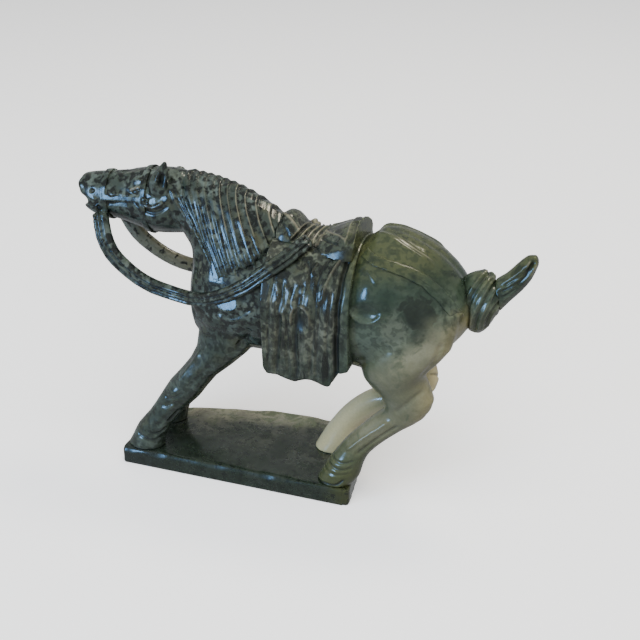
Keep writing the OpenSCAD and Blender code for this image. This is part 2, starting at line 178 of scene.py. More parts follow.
class Graph:
    """The shader graph of one finish."""

    def __init__(self, name: str) -> None:
        """Start an empty graph.

        Args:
            name: The material's name.
        """
        self.material = bpy.data.materials.new(name)
        self.material.use_nodes = True
        self.tree = self.material.node_tree
        self.tree.nodes.clear()

    def node(self, kind: str, settings: dict | None = None, sockets: dict | None = None,
             out: int | str = 0) -> Wire:
        """Add one node.

        Args:
            kind: The node's type.
            settings: The node's own settings, set before its sockets.
            sockets: A value or wire for each socket that isn't left as it is.
            out: The output that is handed back.

        Returns:
            The wire from the chosen output.
        """
        made = self.tree.nodes.new(kind)
        for name, value in (settings or {}).items():
            setattr(made, name, value)
        for name, value in (sockets or {}).items():
            if isinstance(value, Wire):
                self.tree.links.new(value.socket, made.inputs[name])
            else:
                made.inputs[name].default_value = value
        return Wire(self, made.outputs[out] if made.outputs else made.inputs[0])

    def axis(self, place: Wire, index: int) -> Wire:
        """Give one of a place's three numbers."""
        return self.node("ShaderNodeSeparateXYZ", None, {0: place}, index)

    def split(self, place: Wire) -> list[Wire]:
        """Give a place's X, Y and Z."""
        return [self.axis(place, index) for index in range(3)]

    def millimetres(self) -> Wire:
        """Give the place on the object in millimetres."""
        place = self.node("ShaderNodeTexCoord", out="Object")
        return self.node("ShaderNodeVectorMath", {"operation": "SCALE"}, {0: place, 3: 1000.0})

    def blend(self, share: Value, first: Value, second: Value) -> Wire:
        """Mix two colours.

        Args:
            share: How much of the second colour shows.
            first: The colour at 0.
            second: The colour at 1.

        Returns:
            The mixed colour.
        """
        return self.node("ShaderNodeMix", {"data_type": "RGBA", "clamp_factor": True},
                         {0: share, 6: first, 7: second}, 2)

    def clouds(self, place: Wire, size: float, detail: float = 3.0, rough: float = 0.55,
               swirl: float = 0.0) -> Wire:
        """Give soft clouds of a size in millimetres, from about 0.2 to 0.8."""
        return self.node("ShaderNodeTexNoise", {"noise_dimensions": "3D"}, {
            "Vector": place, "Scale": 1.0 / size, "Detail": detail, "Roughness": rough,
            "Distortion": swirl})

    def away(self, place: Wire, centre: Point, radii: Point) -> Wire:
        """Give the distance from a place, as a share of three radii.

        Args:
            place: The place on the object, in millimetres.
            centre: The middle, in millimetres.
            radii: The reach along X, Y and Z, in millimetres.

        Returns:
            The distance, 1 on the ellipsoid of those radii.
        """
        offset = self.node("ShaderNodeVectorMath", {"operation": "SUBTRACT"}, {0: place, 1: centre})
        share = self.node("ShaderNodeVectorMath", {"operation": "DIVIDE"}, {0: offset, 1: radii})
        return self.node("ShaderNodeVectorMath", {"operation": "LENGTH"}, {0: share}, 1)


@dataclass(frozen=True)
class JadeFinish:
    """Polished green jade, whose tones follow the block that it was cut from, with painted shade in
    its grooves and painted highlights on its ridges.
    """

    name: str
    sheen: float = 0.2
    glaze: float = 0.15
    figure_dark: Colour = stone(16, 21, 18)
    figure_ground: Colour = stone(66, 76, 66)
    figure_light: Colour = stone(104, 116, 106)
    speckles: float = 1.0
    streaks: float = 0.0
    paleness: float = 1.0

    def forequarter(self, graph: Graph, place: Wire, strewn: Wire, mottle: Wire) -> Wire:
        """Colour the speckled head, neck, tack and forequarters."""
        height = graph.axis(place, 2)
        light = graph.blend(mottle.rise(0.44, 0.66), self.figure_ground, self.figure_light)
        warm = graph.clouds(place, 9.0, 2.0)
        light = graph.blend(warm.rise(0.5, 0.72) * 0.55, light, stone(92, 92, 66))
        low = height.rise(80.0, 50.0)
        light = graph.blend(low * 0.35, light, stone(56, 70, 58))
        brisket = graph.away(place, (-16.0, 12.0, 67.0), (7.0, 8.0, 12.0)).rise(1.15, 0.5)
        light = graph.blend(brisket * 0.7, light, stone(132, 144, 136))
        spots = (strewn + (mottle - 0.5) * 0.3 + 0.02 * self.speckles).rise(0.43, 0.63)
        spots = spots * (1.0 - low * 0.45) * (1.0 - brisket * 0.7)
        if self.streaks:
            drawn = graph.node("ShaderNodeVectorMath", {"operation": "MULTIPLY"},
                               {0: place, 1: (1.0, 1.0, 0.22)})
            fine = graph.clouds(drawn, 1.3, 3.0, 0.6)
            light = graph.blend((fine - 0.44) * 2.2 * self.streaks, light, stone(28, 34, 27))
            wide = graph.clouds(drawn, 3.4, 2.5, 0.55)
            spots = (spots * 0.8).larger(wide.rise(0.49, 0.58) * 0.9)
        return graph.blend(spots * 0.93, light, self.figure_dark)

    def rump(self, graph: Graph, place: Wire, strewn: Wire, cloud: Wire, mottle: Wire) -> Wire:
        """Colour the cloudy olive rump."""
        height = graph.axis(place, 2)
        base = graph.blend(cloud.rise(0.38, 0.62), stone(52, 68, 52), stone(90, 104, 86))
        loin = graph.away(place, (56.0, -19.0, 72.0), (13.0, 14.0, 13.0)).rise(1.1, 0.3)
        base = graph.blend(loin * 0.5, base, stone(116, 130, 112))
        top = (height + (cloud - 0.5) * 30.0).rise(92.0, 102.0)
        base = graph.blend(top * 0.8, base, stone(86, 90, 54))
        shade = (mottle + (cloud - 0.5) * 0.4).rise(0.5, 0.66)
        base = graph.blend(shade * 0.62, base, stone(28, 42, 32))
        pale = graph.away(place, (65.5, -19.5, 79.0), (6.5, 10.0, 9.0)) + (mottle - 0.5) * 1.4
        base = graph.blend(pale.rise(1.1, 0.4) * 0.6, base, stone(132, 138, 116))
        fleck = (strewn + (cloud - 0.5) * 0.35).rise(0.46, 0.62)
        base = graph.blend(fleck * 0.42, base, stone(30, 44, 33))
        flank = graph.away(place, (54.0, -20.0, 93.0), (12.0, 14.0, 9.0)).rise(1.15, 0.35)
        base = graph.blend(flank * 0.45, base, stone(40, 60, 50))
        ragged = (mottle - 0.5) * 2.4 + (strewn - 0.5) * 0.5
        patch = (graph.away(place, (72.6, -18.8, 86.9), (5.8, 9.0, 5.6)) + ragged).rise(1.1, 0.8)
        lower = (graph.away(place, (75.2, -17.8, 77.6), (4.8, 8.0, 5.2)) + ragged).rise(1.1, 0.7)
        far = graph.away(place, (64.0, 20.0, 82.0), (9.0, 9.0, 7.0)).rise(1.1, 0.6)
        spot = patch.larger(lower * 0.7).larger(far)
        return graph.blend(spot * 0.85, base, stone(36, 44, 35))

    def hind(self, graph: Graph, place: Wire, cloud: Wire, mottle: Wire) -> Wire:
        """Colour the pale hindquarters and hind legs, with a painted glow on the far side."""
        split = graph.split(place)
        base = graph.blend(cloud.rise(0.35, 0.65), stone(124, 124, 96), stone(160, 158, 128))
        veil = (mottle + (cloud - 0.5) * 0.5).rise(0.5, 0.68)
        base = graph.blend(veil * 0.6, base, stone(76, 88, 66))
        front = (split[0] - split[2] * 0.9 + (mottle - 0.5) * 14.0).rise(8.0, -8.0)
        base = graph.blend(front * 0.6, base, stone(64, 84, 56))
        ochre = (split[0] - split[2] * 0.25).rise(58.0, 68.0)
        base = graph.blend(ochre * 0.6, base, stone(184, 172, 118))
        # The far side, which gets the painted glow below and skips the darker feet.
        far = split[1].rise(-1.0, 4.0)
        foot = (split[2] + (mottle - 0.5) * 26.0).rise(34.0, 20.0) * (1.0 - far)
        base = graph.blend(foot * 0.8, base, stone(62, 76, 44))
        hoof = (split[2] + (mottle - 0.5) * 8.0).rise(19.0, 14.0) * (1.0 - far)
        base = graph.blend(hoof * 0.7, base, stone(86, 90, 54))
        # The far side is painted near-white cream: partly the stone's pale tone, partly a painted
        # glow of light through the thin far leg.
        return graph.blend(far * 0.95, base, stone(255, 238, 180))

    def tones(self, graph: Graph, place: Wire) -> Wire:
        """Blend the three parts of the block into one colour.

        Args:
            graph: The graph to build in.
            place: The place on the object, in millimetres.

        Returns:
            The colour of the stone.
        """
        drift = graph.node("ShaderNodeTexNoise", {"noise_dimensions": "3D"},
                           {"Vector": place, "Scale": 0.06, "Detail": 2.0}, 1)
        centred = graph.node("ShaderNodeVectorMath", {"operation": "SUBTRACT"},
                             {0: drift, 1: (0.5, 0.5, 0.5)})
        swirled = graph.node("ShaderNodeVectorMath", {"operation": "MULTIPLY_ADD"},
                             {0: centred, 1: (14.0, 14.0, 14.0), 2: place})
        cloud = graph.clouds(swirled, 22.0, 3.0)
        mottle = graph.clouds(swirled, 7.0, 3.0, 0.6)
        strewn = graph.clouds(place, 2.1, 1.2, 0.5, 0.25)
        split = graph.split(swirled)
        colour = self.forequarter(graph, place, strewn, mottle)
        drop = (62.0 - split[2]).larger(0.0) * 0.6
        behind = (split[0] + drop + (mottle - 0.5) * 10.0).rise(41.0, 50.0)
        colour = graph.blend(behind, colour, self.rump(graph, place, strewn, cloud, mottle))
        below = (split[2] - (split[0] - 60.0) * 0.3 + (mottle - 0.5) * 14.0).rise(82.0, 66.0)
        slant = split[0] + (66.0 - split[2]) * 0.9 + (cloud - 0.5) * 12.0
        pale = below * slant.rise(51.0, 68.0) * self.paleness
        return graph.blend(pale, colour, self.hind(graph, place, cloud, mottle))

    def build(self) -> bpy.types.Material:
        """Make the material, painting shade into grooves and highlights onto ridges from the carving
        depth.
        """
        graph = Graph(self.name)
        place = graph.millimetres()
        colour = self.tones(graph, place)
        cut = graph.node("ShaderNodeAttribute", {"attribute_name": "carving"}, None, 2)
        grain = graph.clouds(place, 0.9, 3.0, 0.6)
        # Painted shade: grooves are darkened by their noted depth.
        colour = graph.blend(cut.rise(0.08, 0.75) * 0.72, colour, stone(16, 20, 16))
        # Painted highlight: raised ridges are lightened to cream.
        colour = graph.blend(cut.rise(-0.06, -0.6) * 0.46, colour, stone(176, 168, 138))
        colour = graph.blend((grain - 0.5) * 0.35 + 0.08, colour, stone(18, 22, 18))
        worn = graph.clouds(place, 5.0, 3.0, 0.6)
        rough = worn * 0.16 + (self.sheen - 0.08) + cut.rise(0.1, 0.8) * 0.25
        facet = graph.clouds(place, 4.2, 2.0, 0.4)
        relief = facet * 0.75 + grain * 0.08 + graph.clouds(place, 0.35, 2.0) * 0.02
        normal = graph.node("ShaderNodeBump", None,
                            {"Strength": 0.5, "Distance": 0.00035, "Height": relief})
        shader = graph.node("ShaderNodeBsdfPrincipled", {"subsurface_method": "RANDOM_WALK"}, {
            "Base Color": colour, "Roughness": rough, "Normal": normal, "IOR": 1.52,
            "Coat Weight": self.glaze, "Coat Roughness": 0.08, "Coat IOR": 1.5,
            "Subsurface Weight": 0.22, "Subsurface Radius": (0.9, 1.0, 0.6),
            "Subsurface Scale": 0.0016})
        graph.node("ShaderNodeOutputMaterial", None, {"Surface": shader})
        return graph.material


@dataclass(frozen=True)
class SlabFinish(JadeFinish):
    """The slab's jade: dark green fore and near, grey within, and at its far edge pale yellow-green,
    partly the stone's tone and partly a painted glow of light through the thin edge.
    """

    def tones(self, graph: Graph, place: Wire) -> Wire:
        """Colour the slab by how near its edges a place is."""
        cloud = graph.clouds(place, 26.0, 4.0, 0.6, 0.3)
        mottle = graph.clouds(place, 6.5, 4.0, 0.62, 0.5)
        strewn = graph.clouds(place, 2.4, 2.0, 0.55)
        split = graph.split(place)
        base = graph.blend(cloud.rise(0.36, 0.6), stone(46, 55, 43), stone(84, 88, 76))
        moss = (mottle + (cloud - 0.5) * 0.35).rise(0.45, 0.6)
        base = graph.blend(moss * 0.85, base, stone(34, 48, 31))
        near = (split[1] + (mottle - 0.5) * 22.0 + (cloud - 0.5) * 18.0).rise(4.0, -13.0)
        base = graph.blend(near * 0.75, base, stone(32, 45, 33))
        left = (split[0] + (mottle - 0.5) * 14.0).rise(-22.0, -42.0)
        base = graph.blend(left * 0.7, base, stone(42, 49, 44))
        # Far edge: pale yellow-green patched with green, partly the stone's tone and partly a
        # painted glow of light through the thin edge; it keeps fewer dark specks.
        far = (split[1] - split[0] * 0.2 + (cloud - 0.5) * 30.0
               + (mottle - 0.5) * 18.0).rise(13.0, 27.0)
        base = graph.blend(far * 0.85, base, graph.blend(mottle.rise(0.4, 0.62),
                                                         stone(204, 202, 172), stone(128, 138, 104)))
        right = (split[0] + (cloud - 0.5) * 14.0 + (mottle - 0.5) * 14.0).rise(38.0, 50.0)
        base = graph.blend(right * 0.7, base, stone(78, 82, 44))
        dark = (strewn + (mottle - 0.5) * 0.3).rise(0.54, 0.64) * (1.0 - far)
        return graph.blend(dark * 0.75, base, stone(22, 30, 22))


@dataclass(frozen=True)
class FloorFinish:
    """The plain pale floor."""

    name: str = "pale_floor"
    tone: Colour = (0.93, 0.93, 0.925, 1.0)
    glow: float = 0.5

    def build(self) -> bpy.types.Material:
        """Make the material."""
        graph = Graph(self.name)
        place = graph.node("ShaderNodeTexCoord", out="Object")
        haze = graph.node("ShaderNodeTexNoise", None, {"Vector": place, "Scale": 9.0, "Detail": 2.0})
        colour = graph.blend(haze * 0.06, self.tone, (0.9, 0.9, 0.89, 1.0))
        shader = graph.node("ShaderNodeBsdfPrincipled", None,
                            {"Base Color": colour, "Roughness": 0.9, "Specular IOR Level": 0.1,
                             "Emission Color": self.tone, "Emission Strength": self.glow})
        graph.node("ShaderNodeOutputMaterial", None, {"Surface": shader})
        return graph.material


# ------------------------------------------------------------------ carving
class Sides(Enum):
    """The sides of the horse that a stroke is cut on."""

    NEAR = (1.0,)
    FAR = (-1.0,)
    BOTH = (1.0, -1.0)


@dataclass(frozen=True)
class Figure:
    """The drawn figure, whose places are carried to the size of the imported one."""

    low: Point = (-66.1, -23.0, 0.0)
    high: Point = (110.3, 29.5, 128.7)

    def spots(self, drawn: Sequence[Point], side: float = 1.0) -> np.ndarray:
        """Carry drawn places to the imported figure.

        Args:
            drawn: Places in millimetres on the near side of the drawn figure.
            side: 1 for the near side as drawn, -1 for its mirror on the far side.

        Returns:
            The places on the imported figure, in millimetres.
        """
        low = np.array(PACKED_BOX[0]) / MM
        span = (np.array(PACKED_BOX[1]) / MM - low) / (np.array(self.high) - np.array(self.low))
        places = np.array(drawn, dtype=float).reshape(-1, 3)
        return (places - np.array(self.low)) * np.array([span[0], 1.0, span[2]]) * [1, side, 1] \
            + [low[0], side * self.low[1], low[2]]


FIGURE = Figure()


def clear() -> None:
    """Deselect everything."""
    if bpy.context.object and bpy.context.object.mode != "OBJECT":
        bpy.ops.object.mode_set(mode="OBJECT")
    bpy.ops.object.select_all(action="DESELECT")


def pick(piece: bpy.types.Object) -> bpy.types.Object:
    """Select one object alone and make it active."""
    clear()
    piece.select_set(True)
    bpy.context.view_layer.objects.active = piece
    return piece


def apply_modifier(piece: bpy.types.Object, kind: str, **settings: object) -> None:
    """Add a modifier to a piece and apply it.

    Args:
        piece: The piece.
        kind: The modifier's type.
        settings: The modifier's settings.
    """
    pick(piece)
    modifier = piece.modifiers.new(kind.lower(), kind)
    for name, value in settings.items():
        setattr(modifier, name, value)
    bpy.ops.object.modifier_apply(modifier=modifier.name)


def block(name: str, nodes: Sequence[str], extras: Sequence[bpy.types.Object] = ()
          ) -> bpy.types.Object:
    """Take copies of nodes as one rough block.

    Args:
        name: The block's name.
        nodes: The nodes that are copied.
        extras: Other objects that are joined to them.

    Returns:
        The block, its doubles merged and its faces outward.
    """
    clear()
    copies = []
    for node in nodes:
        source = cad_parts[node]
        copy = bpy.data.objects.new(name, source.data.copy())
        bpy.context.scene.collection.objects.link(copy)
        copy.data.materials.clear()
        copies.append(copy)
    clear()
    for part in [*copies, *extras]:
        part.select_set(True)
    bpy.context.view_layer.objects.active = copies[0]
    if len(copies) + len(extras) > 1:
        bpy.ops.object.join()
    piece = pick(copies[0])
    bpy.ops.object.mode_set(mode="EDIT")
    bpy.ops.mesh.select_all(action="SELECT")
    bpy.ops.mesh.remove_doubles(threshold=MERGE_DISTANCE)
    bpy.ops.mesh.normals_make_consistent(inside=False)
    bpy.ops.object.mode_set(mode="OBJECT")
    piece.name = name
    piece.data.name = name
    return piece


class Chisel:
    """The tools that work the surface of one block."""

    def __init__(self, piece: bpy.types.Object, fineness: float) -> None:
        """Refine a block to an even mesh and take it in hand.

        Args:
            piece: The block.
            fineness: The spacing of the refined mesh, in millimetres.
        """
        apply_modifier(piece, "REMESH", mode="VOXEL", voxel_size=fineness * MM)
        self.piece = piece
        self.mesh = piece.data
        count = len(self.mesh.vertices)
        flat = np.empty(count * 3, dtype=np.float32)
        self.mesh.vertices.foreach_get("co", flat)
        self.points = flat.reshape(-1, 3).astype(float) / MM
        ends = np.empty(len(self.mesh.edges) * 2, dtype=np.int32)
        self.mesh.edges.foreach_get("vertices", ends)
        self.ends = ends.reshape(-1, 2)
        self.degree = np.maximum(np.bincount(ends, minlength=count), 1)
        # Noted carving depth, painted later as shade in grooves and highlights on ridges.
        self.cut = np.zeros(count)
        self.normals = np.zeros((count, 3))
        self.refresh()

    def refresh(self) -> None:
        """Write the points back and read the normals again."""
        self.mesh.vertices.foreach_set("co", (self.points * MM).astype(np.float32).ravel())
        self.mesh.update()
        flat = np.empty(len(self.points) * 3, dtype=np.float32)
        self.mesh.vertex_normals.foreach_get("vector", flat)
        self.normals = flat.reshape(-1, 3).astype(float)

    def relax(self, rounds: int, where: np.ndarray | None = None) -> None:
        """Smooth the surface.

        Args:
            rounds: How often each point moves halfway to its neighbours' middle.
            where: How strongly each point takes part, all of them when left out.
        """
        first, second = self.ends[:, 0], self.ends[:, 1]
        count = len(self.points)
        share = 0.5 if where is None else 0.5 * where[:, None]
        for _ in range(rounds):
            middle = np.empty_like(self.points)
            for axis in range(3):
                column = self.points[:, axis]
                middle[:, axis] = (np.bincount(first, column[second], count)
                                   + np.bincount(second, column[first], count)) / self.degree
            self.points += (middle - self.points) * share
        self.refresh()

    def near(self, centre: np.ndarray, radii: Point, turn: float = 0.0) -> np.ndarray:
        """Grade the points around a centre.

        Args:
            centre: The middle, in millimetres.
            radii: The reach along X, Y and Z.
            turn: How far the reach is turned from X towards Z, in degrees.

        Returns:
            1 at the centre, falling softly to 0 at the reach.
        """
        offset = self.points - centre
        angle = math.radians(turn)
        along = offset[:, 0] * math.cos(angle) + offset[:, 2] * math.sin(angle)
        across = offset[:, 2] * math.cos(angle) - offset[:, 0] * math.sin(angle)
        away = (along / radii[0]) ** 2 + (offset[:, 1] / radii[1]) ** 2 + (across / radii[2]) ** 2
        return np.clip(1.0 - away, 0.0, 1.0) ** 2

    def push(self, amount: np.ndarray, marked: float = 1.0) -> None:
        """Move points along their normals.

        Args:
            amount: How far each point moves outwards, in millimetres.
            marked: How much of the move is noted for the finish, which paints shade into grooves and
                highlights onto ridges.
        """
        self.points += self.normals * amount[:, None]
        self.cut -= amount * marked

    def swell(self, drawn: Point, radii: Point, height: float, turn: float = 0.0,
              sides: Sides = Sides.BOTH, marked: float = 0.25) -> None:
        """Raise a mound, or sink a hollow with a negative height."""
        for side in sides.value:
            centre = FIGURE.spots([drawn], side)[0]
            self.push(self.near(centre, radii, turn) * height, marked)

    def reach(self, path: np.ndarray, points: np.ndarray) -> tuple[np.ndarray, np.ndarray]:
        """Measure how far points are from a path.

        Args:
            path: The path's points, in millimetres.
            points: The points that are measured.

        Returns:
            The distance and how far along the path, 0 to 1.
        """
        lengths = np.linalg.norm(np.diff(path, axis=0), axis=1)
        whole = max(float(lengths.sum()), 1e-6)
        best = np.full(len(points), 1e9)
        travel = np.zeros(len(points))
        passed = 0.0
        for start, end, length in zip(path[:-1], path[1:], lengths):
            step = end - start
            share = np.clip((points - start) @ step / max(length ** 2, 1e-9), 0.0, 1.0)
            away = np.linalg.norm(points - start - share[:, None] * step, axis=1)
            closer = away < best
            best = np.where(closer, away, best)
            travel = np.where(closer, (passed + share * length) / whole, travel)
            passed += float(length)
        return best, travel

    def settle(self, path: np.ndarray, points: np.ndarray, spacing: float = 1.2) -> np.ndarray:
        """Lay a path on the surface, in even steps through soft curves.

        Args:
            path: The drawn path, in millimetres.
            points: The points of the surface around it.
            spacing: The length of a step, in millimetres.

        Returns:
            The path on the surface.
        """
        knots = np.vstack([2 * path[0] - path[1], path, 2 * path[-1] - path[-2]])
        run: list[np.ndarray] = []
        for index in range(1, len(knots) - 2):
            a, b, c, d = knots[index - 1:index + 3]
            steps = max(2, int(np.linalg.norm(c - b) / spacing))
            for step in range(steps):
                t = step / steps
                run.append(0.5 * (2 * b + (c - a) * t + (2 * a - 5 * b + 4 * c - d) * t ** 2
                                  + (3 * b - a - 3 * c + d) * t ** 3))
        run.append(path[-1])
        laid = np.array([points[int(np.argmin(((points - place) ** 2).sum(axis=1)))]
                         for place in run])
        for _ in range(2):
            laid[1:-1] = (laid[:-2] + 2 * laid[1:-1] + laid[2:]) / 4
        return laid

    def stroke(self, drawn: Sequence[Point], width: float, height: float,
               sides: Sides = Sides.BOTH, fade: float = 0.12, lip: float = 0.0,
               marked: float = 1.0) -> None:
        """Raise a ridge along a path, or cut a groove with a negative height.

        Args:
            drawn: The path's places on the near side of the drawn figure.
            width: The reach to each side, in millimetres.
            height: How high the ridge stands, below 0 for a groove.
            sides: The sides that it is cut on.
            fade: The share of the path over which each end dies away.
            lip: A raised edge to both sides, as a share of the height.
            marked: How much of the move is noted for the finish, which paints shade into grooves and
                highlights onto ridges.
        """
        for side in sides.value:
            self.follow(FIGURE.spots(drawn, side), width, height, fade, lip, marked)

    def follow(self, path: np.ndarray, width: float, height: float, fade: float = 0.12,
               lip: float = 0.0, marked: float = 1.0) -> None:
        """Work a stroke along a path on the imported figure, with stroke's settings."""
        margin = 4.0 + 3.0 * width
        around = np.all((self.points > path.min(axis=0) - margin)
                        & (self.points < path.max(axis=0) + margin), axis=1)
        chosen = np.nonzero(around)[0]
        if not len(chosen):
            return
        points = self.points[chosen]
        away, travel = self.reach(self.settle(path, points), points)
        body = np.exp(-2.0 * (away / width) ** 2)
        edge = np.exp(-4.0 * (away / width - 1.5) ** 2)
        ends = ease(np.minimum(travel, 1.0 - travel), -0.02, max(fade, 0.001))
        amount = np.zeros(len(self.points))
        amount[chosen] = (body * height - edge * height * lip) * ends
        self.push(amount, marked)

    def plane(self, drawn: Point, normal: Point, radii: Point, share: float,
              sides: Sides = Sides.BOTH) -> None:
        """Flatten the surface towards a plane through a place.

        Args:
            drawn: The plane's place.
            normal: The plane's outward direction on the near side.
            radii: The reach along X, Y and Z.
            share: How far the points go to the plane, 0 to 1.
            sides: The sides that it is cut on.
        """
        for side in sides.value:
            centre = FIGURE.spots([drawn], side)[0]
            facing = np.array(normal) * [1.0, side, 1.0]
            facing = facing / np.linalg.norm(facing)
            offset = self.points - centre
            height = offset @ facing
            away = ((offset / np.array(radii)) ** 2).sum(axis=1)
            grade = ease(1.0 - away, 0.0, 0.45) * share
            self.points -= facing * (height * grade)[:, None]

    def finish(self, most: int = MOST_TRIANGLES) -> bpy.types.Object:
        """Lay the work down as a finished mesh.

        Args:
            most: The most triangles that it may keep.

        Returns:
            The finished piece.
        """
        self.refresh()
        # The noted depth is kept as the carving attribute, which paints shade into grooves and
        # highlights onto ridges and roughens the grooves.
        note = self.mesh.attributes.new("carving", "FLOAT", "POINT")
        note.data.foreach_set("value", self.cut.astype(np.float32))
        triangles = sum(len(face.vertices) - 2 for face in self.mesh.polygons)
        if triangles > most:
            apply_modifier(self.piece, "DECIMATE", ratio=most / triangles)
        pick(self.piece)
        bpy.ops.object.shade_smooth()
        return self.piece


def hand_over(piece: bpy.types.Object, nodes: Sequence[str],
              finish: bpy.types.Material) -> None:
    """Dress a piece, tie it to the frame and report it.

    Args:
        piece: The piece.
        nodes: The nodes that it stands for.
        finish: Its material.
    """
    piece.data.materials.clear()
    piece.data.materials.append(finish)
    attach(piece, "root")
    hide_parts(*nodes)
    LOG.info("%s: %d faces", piece.name, len(piece.data.polygons))


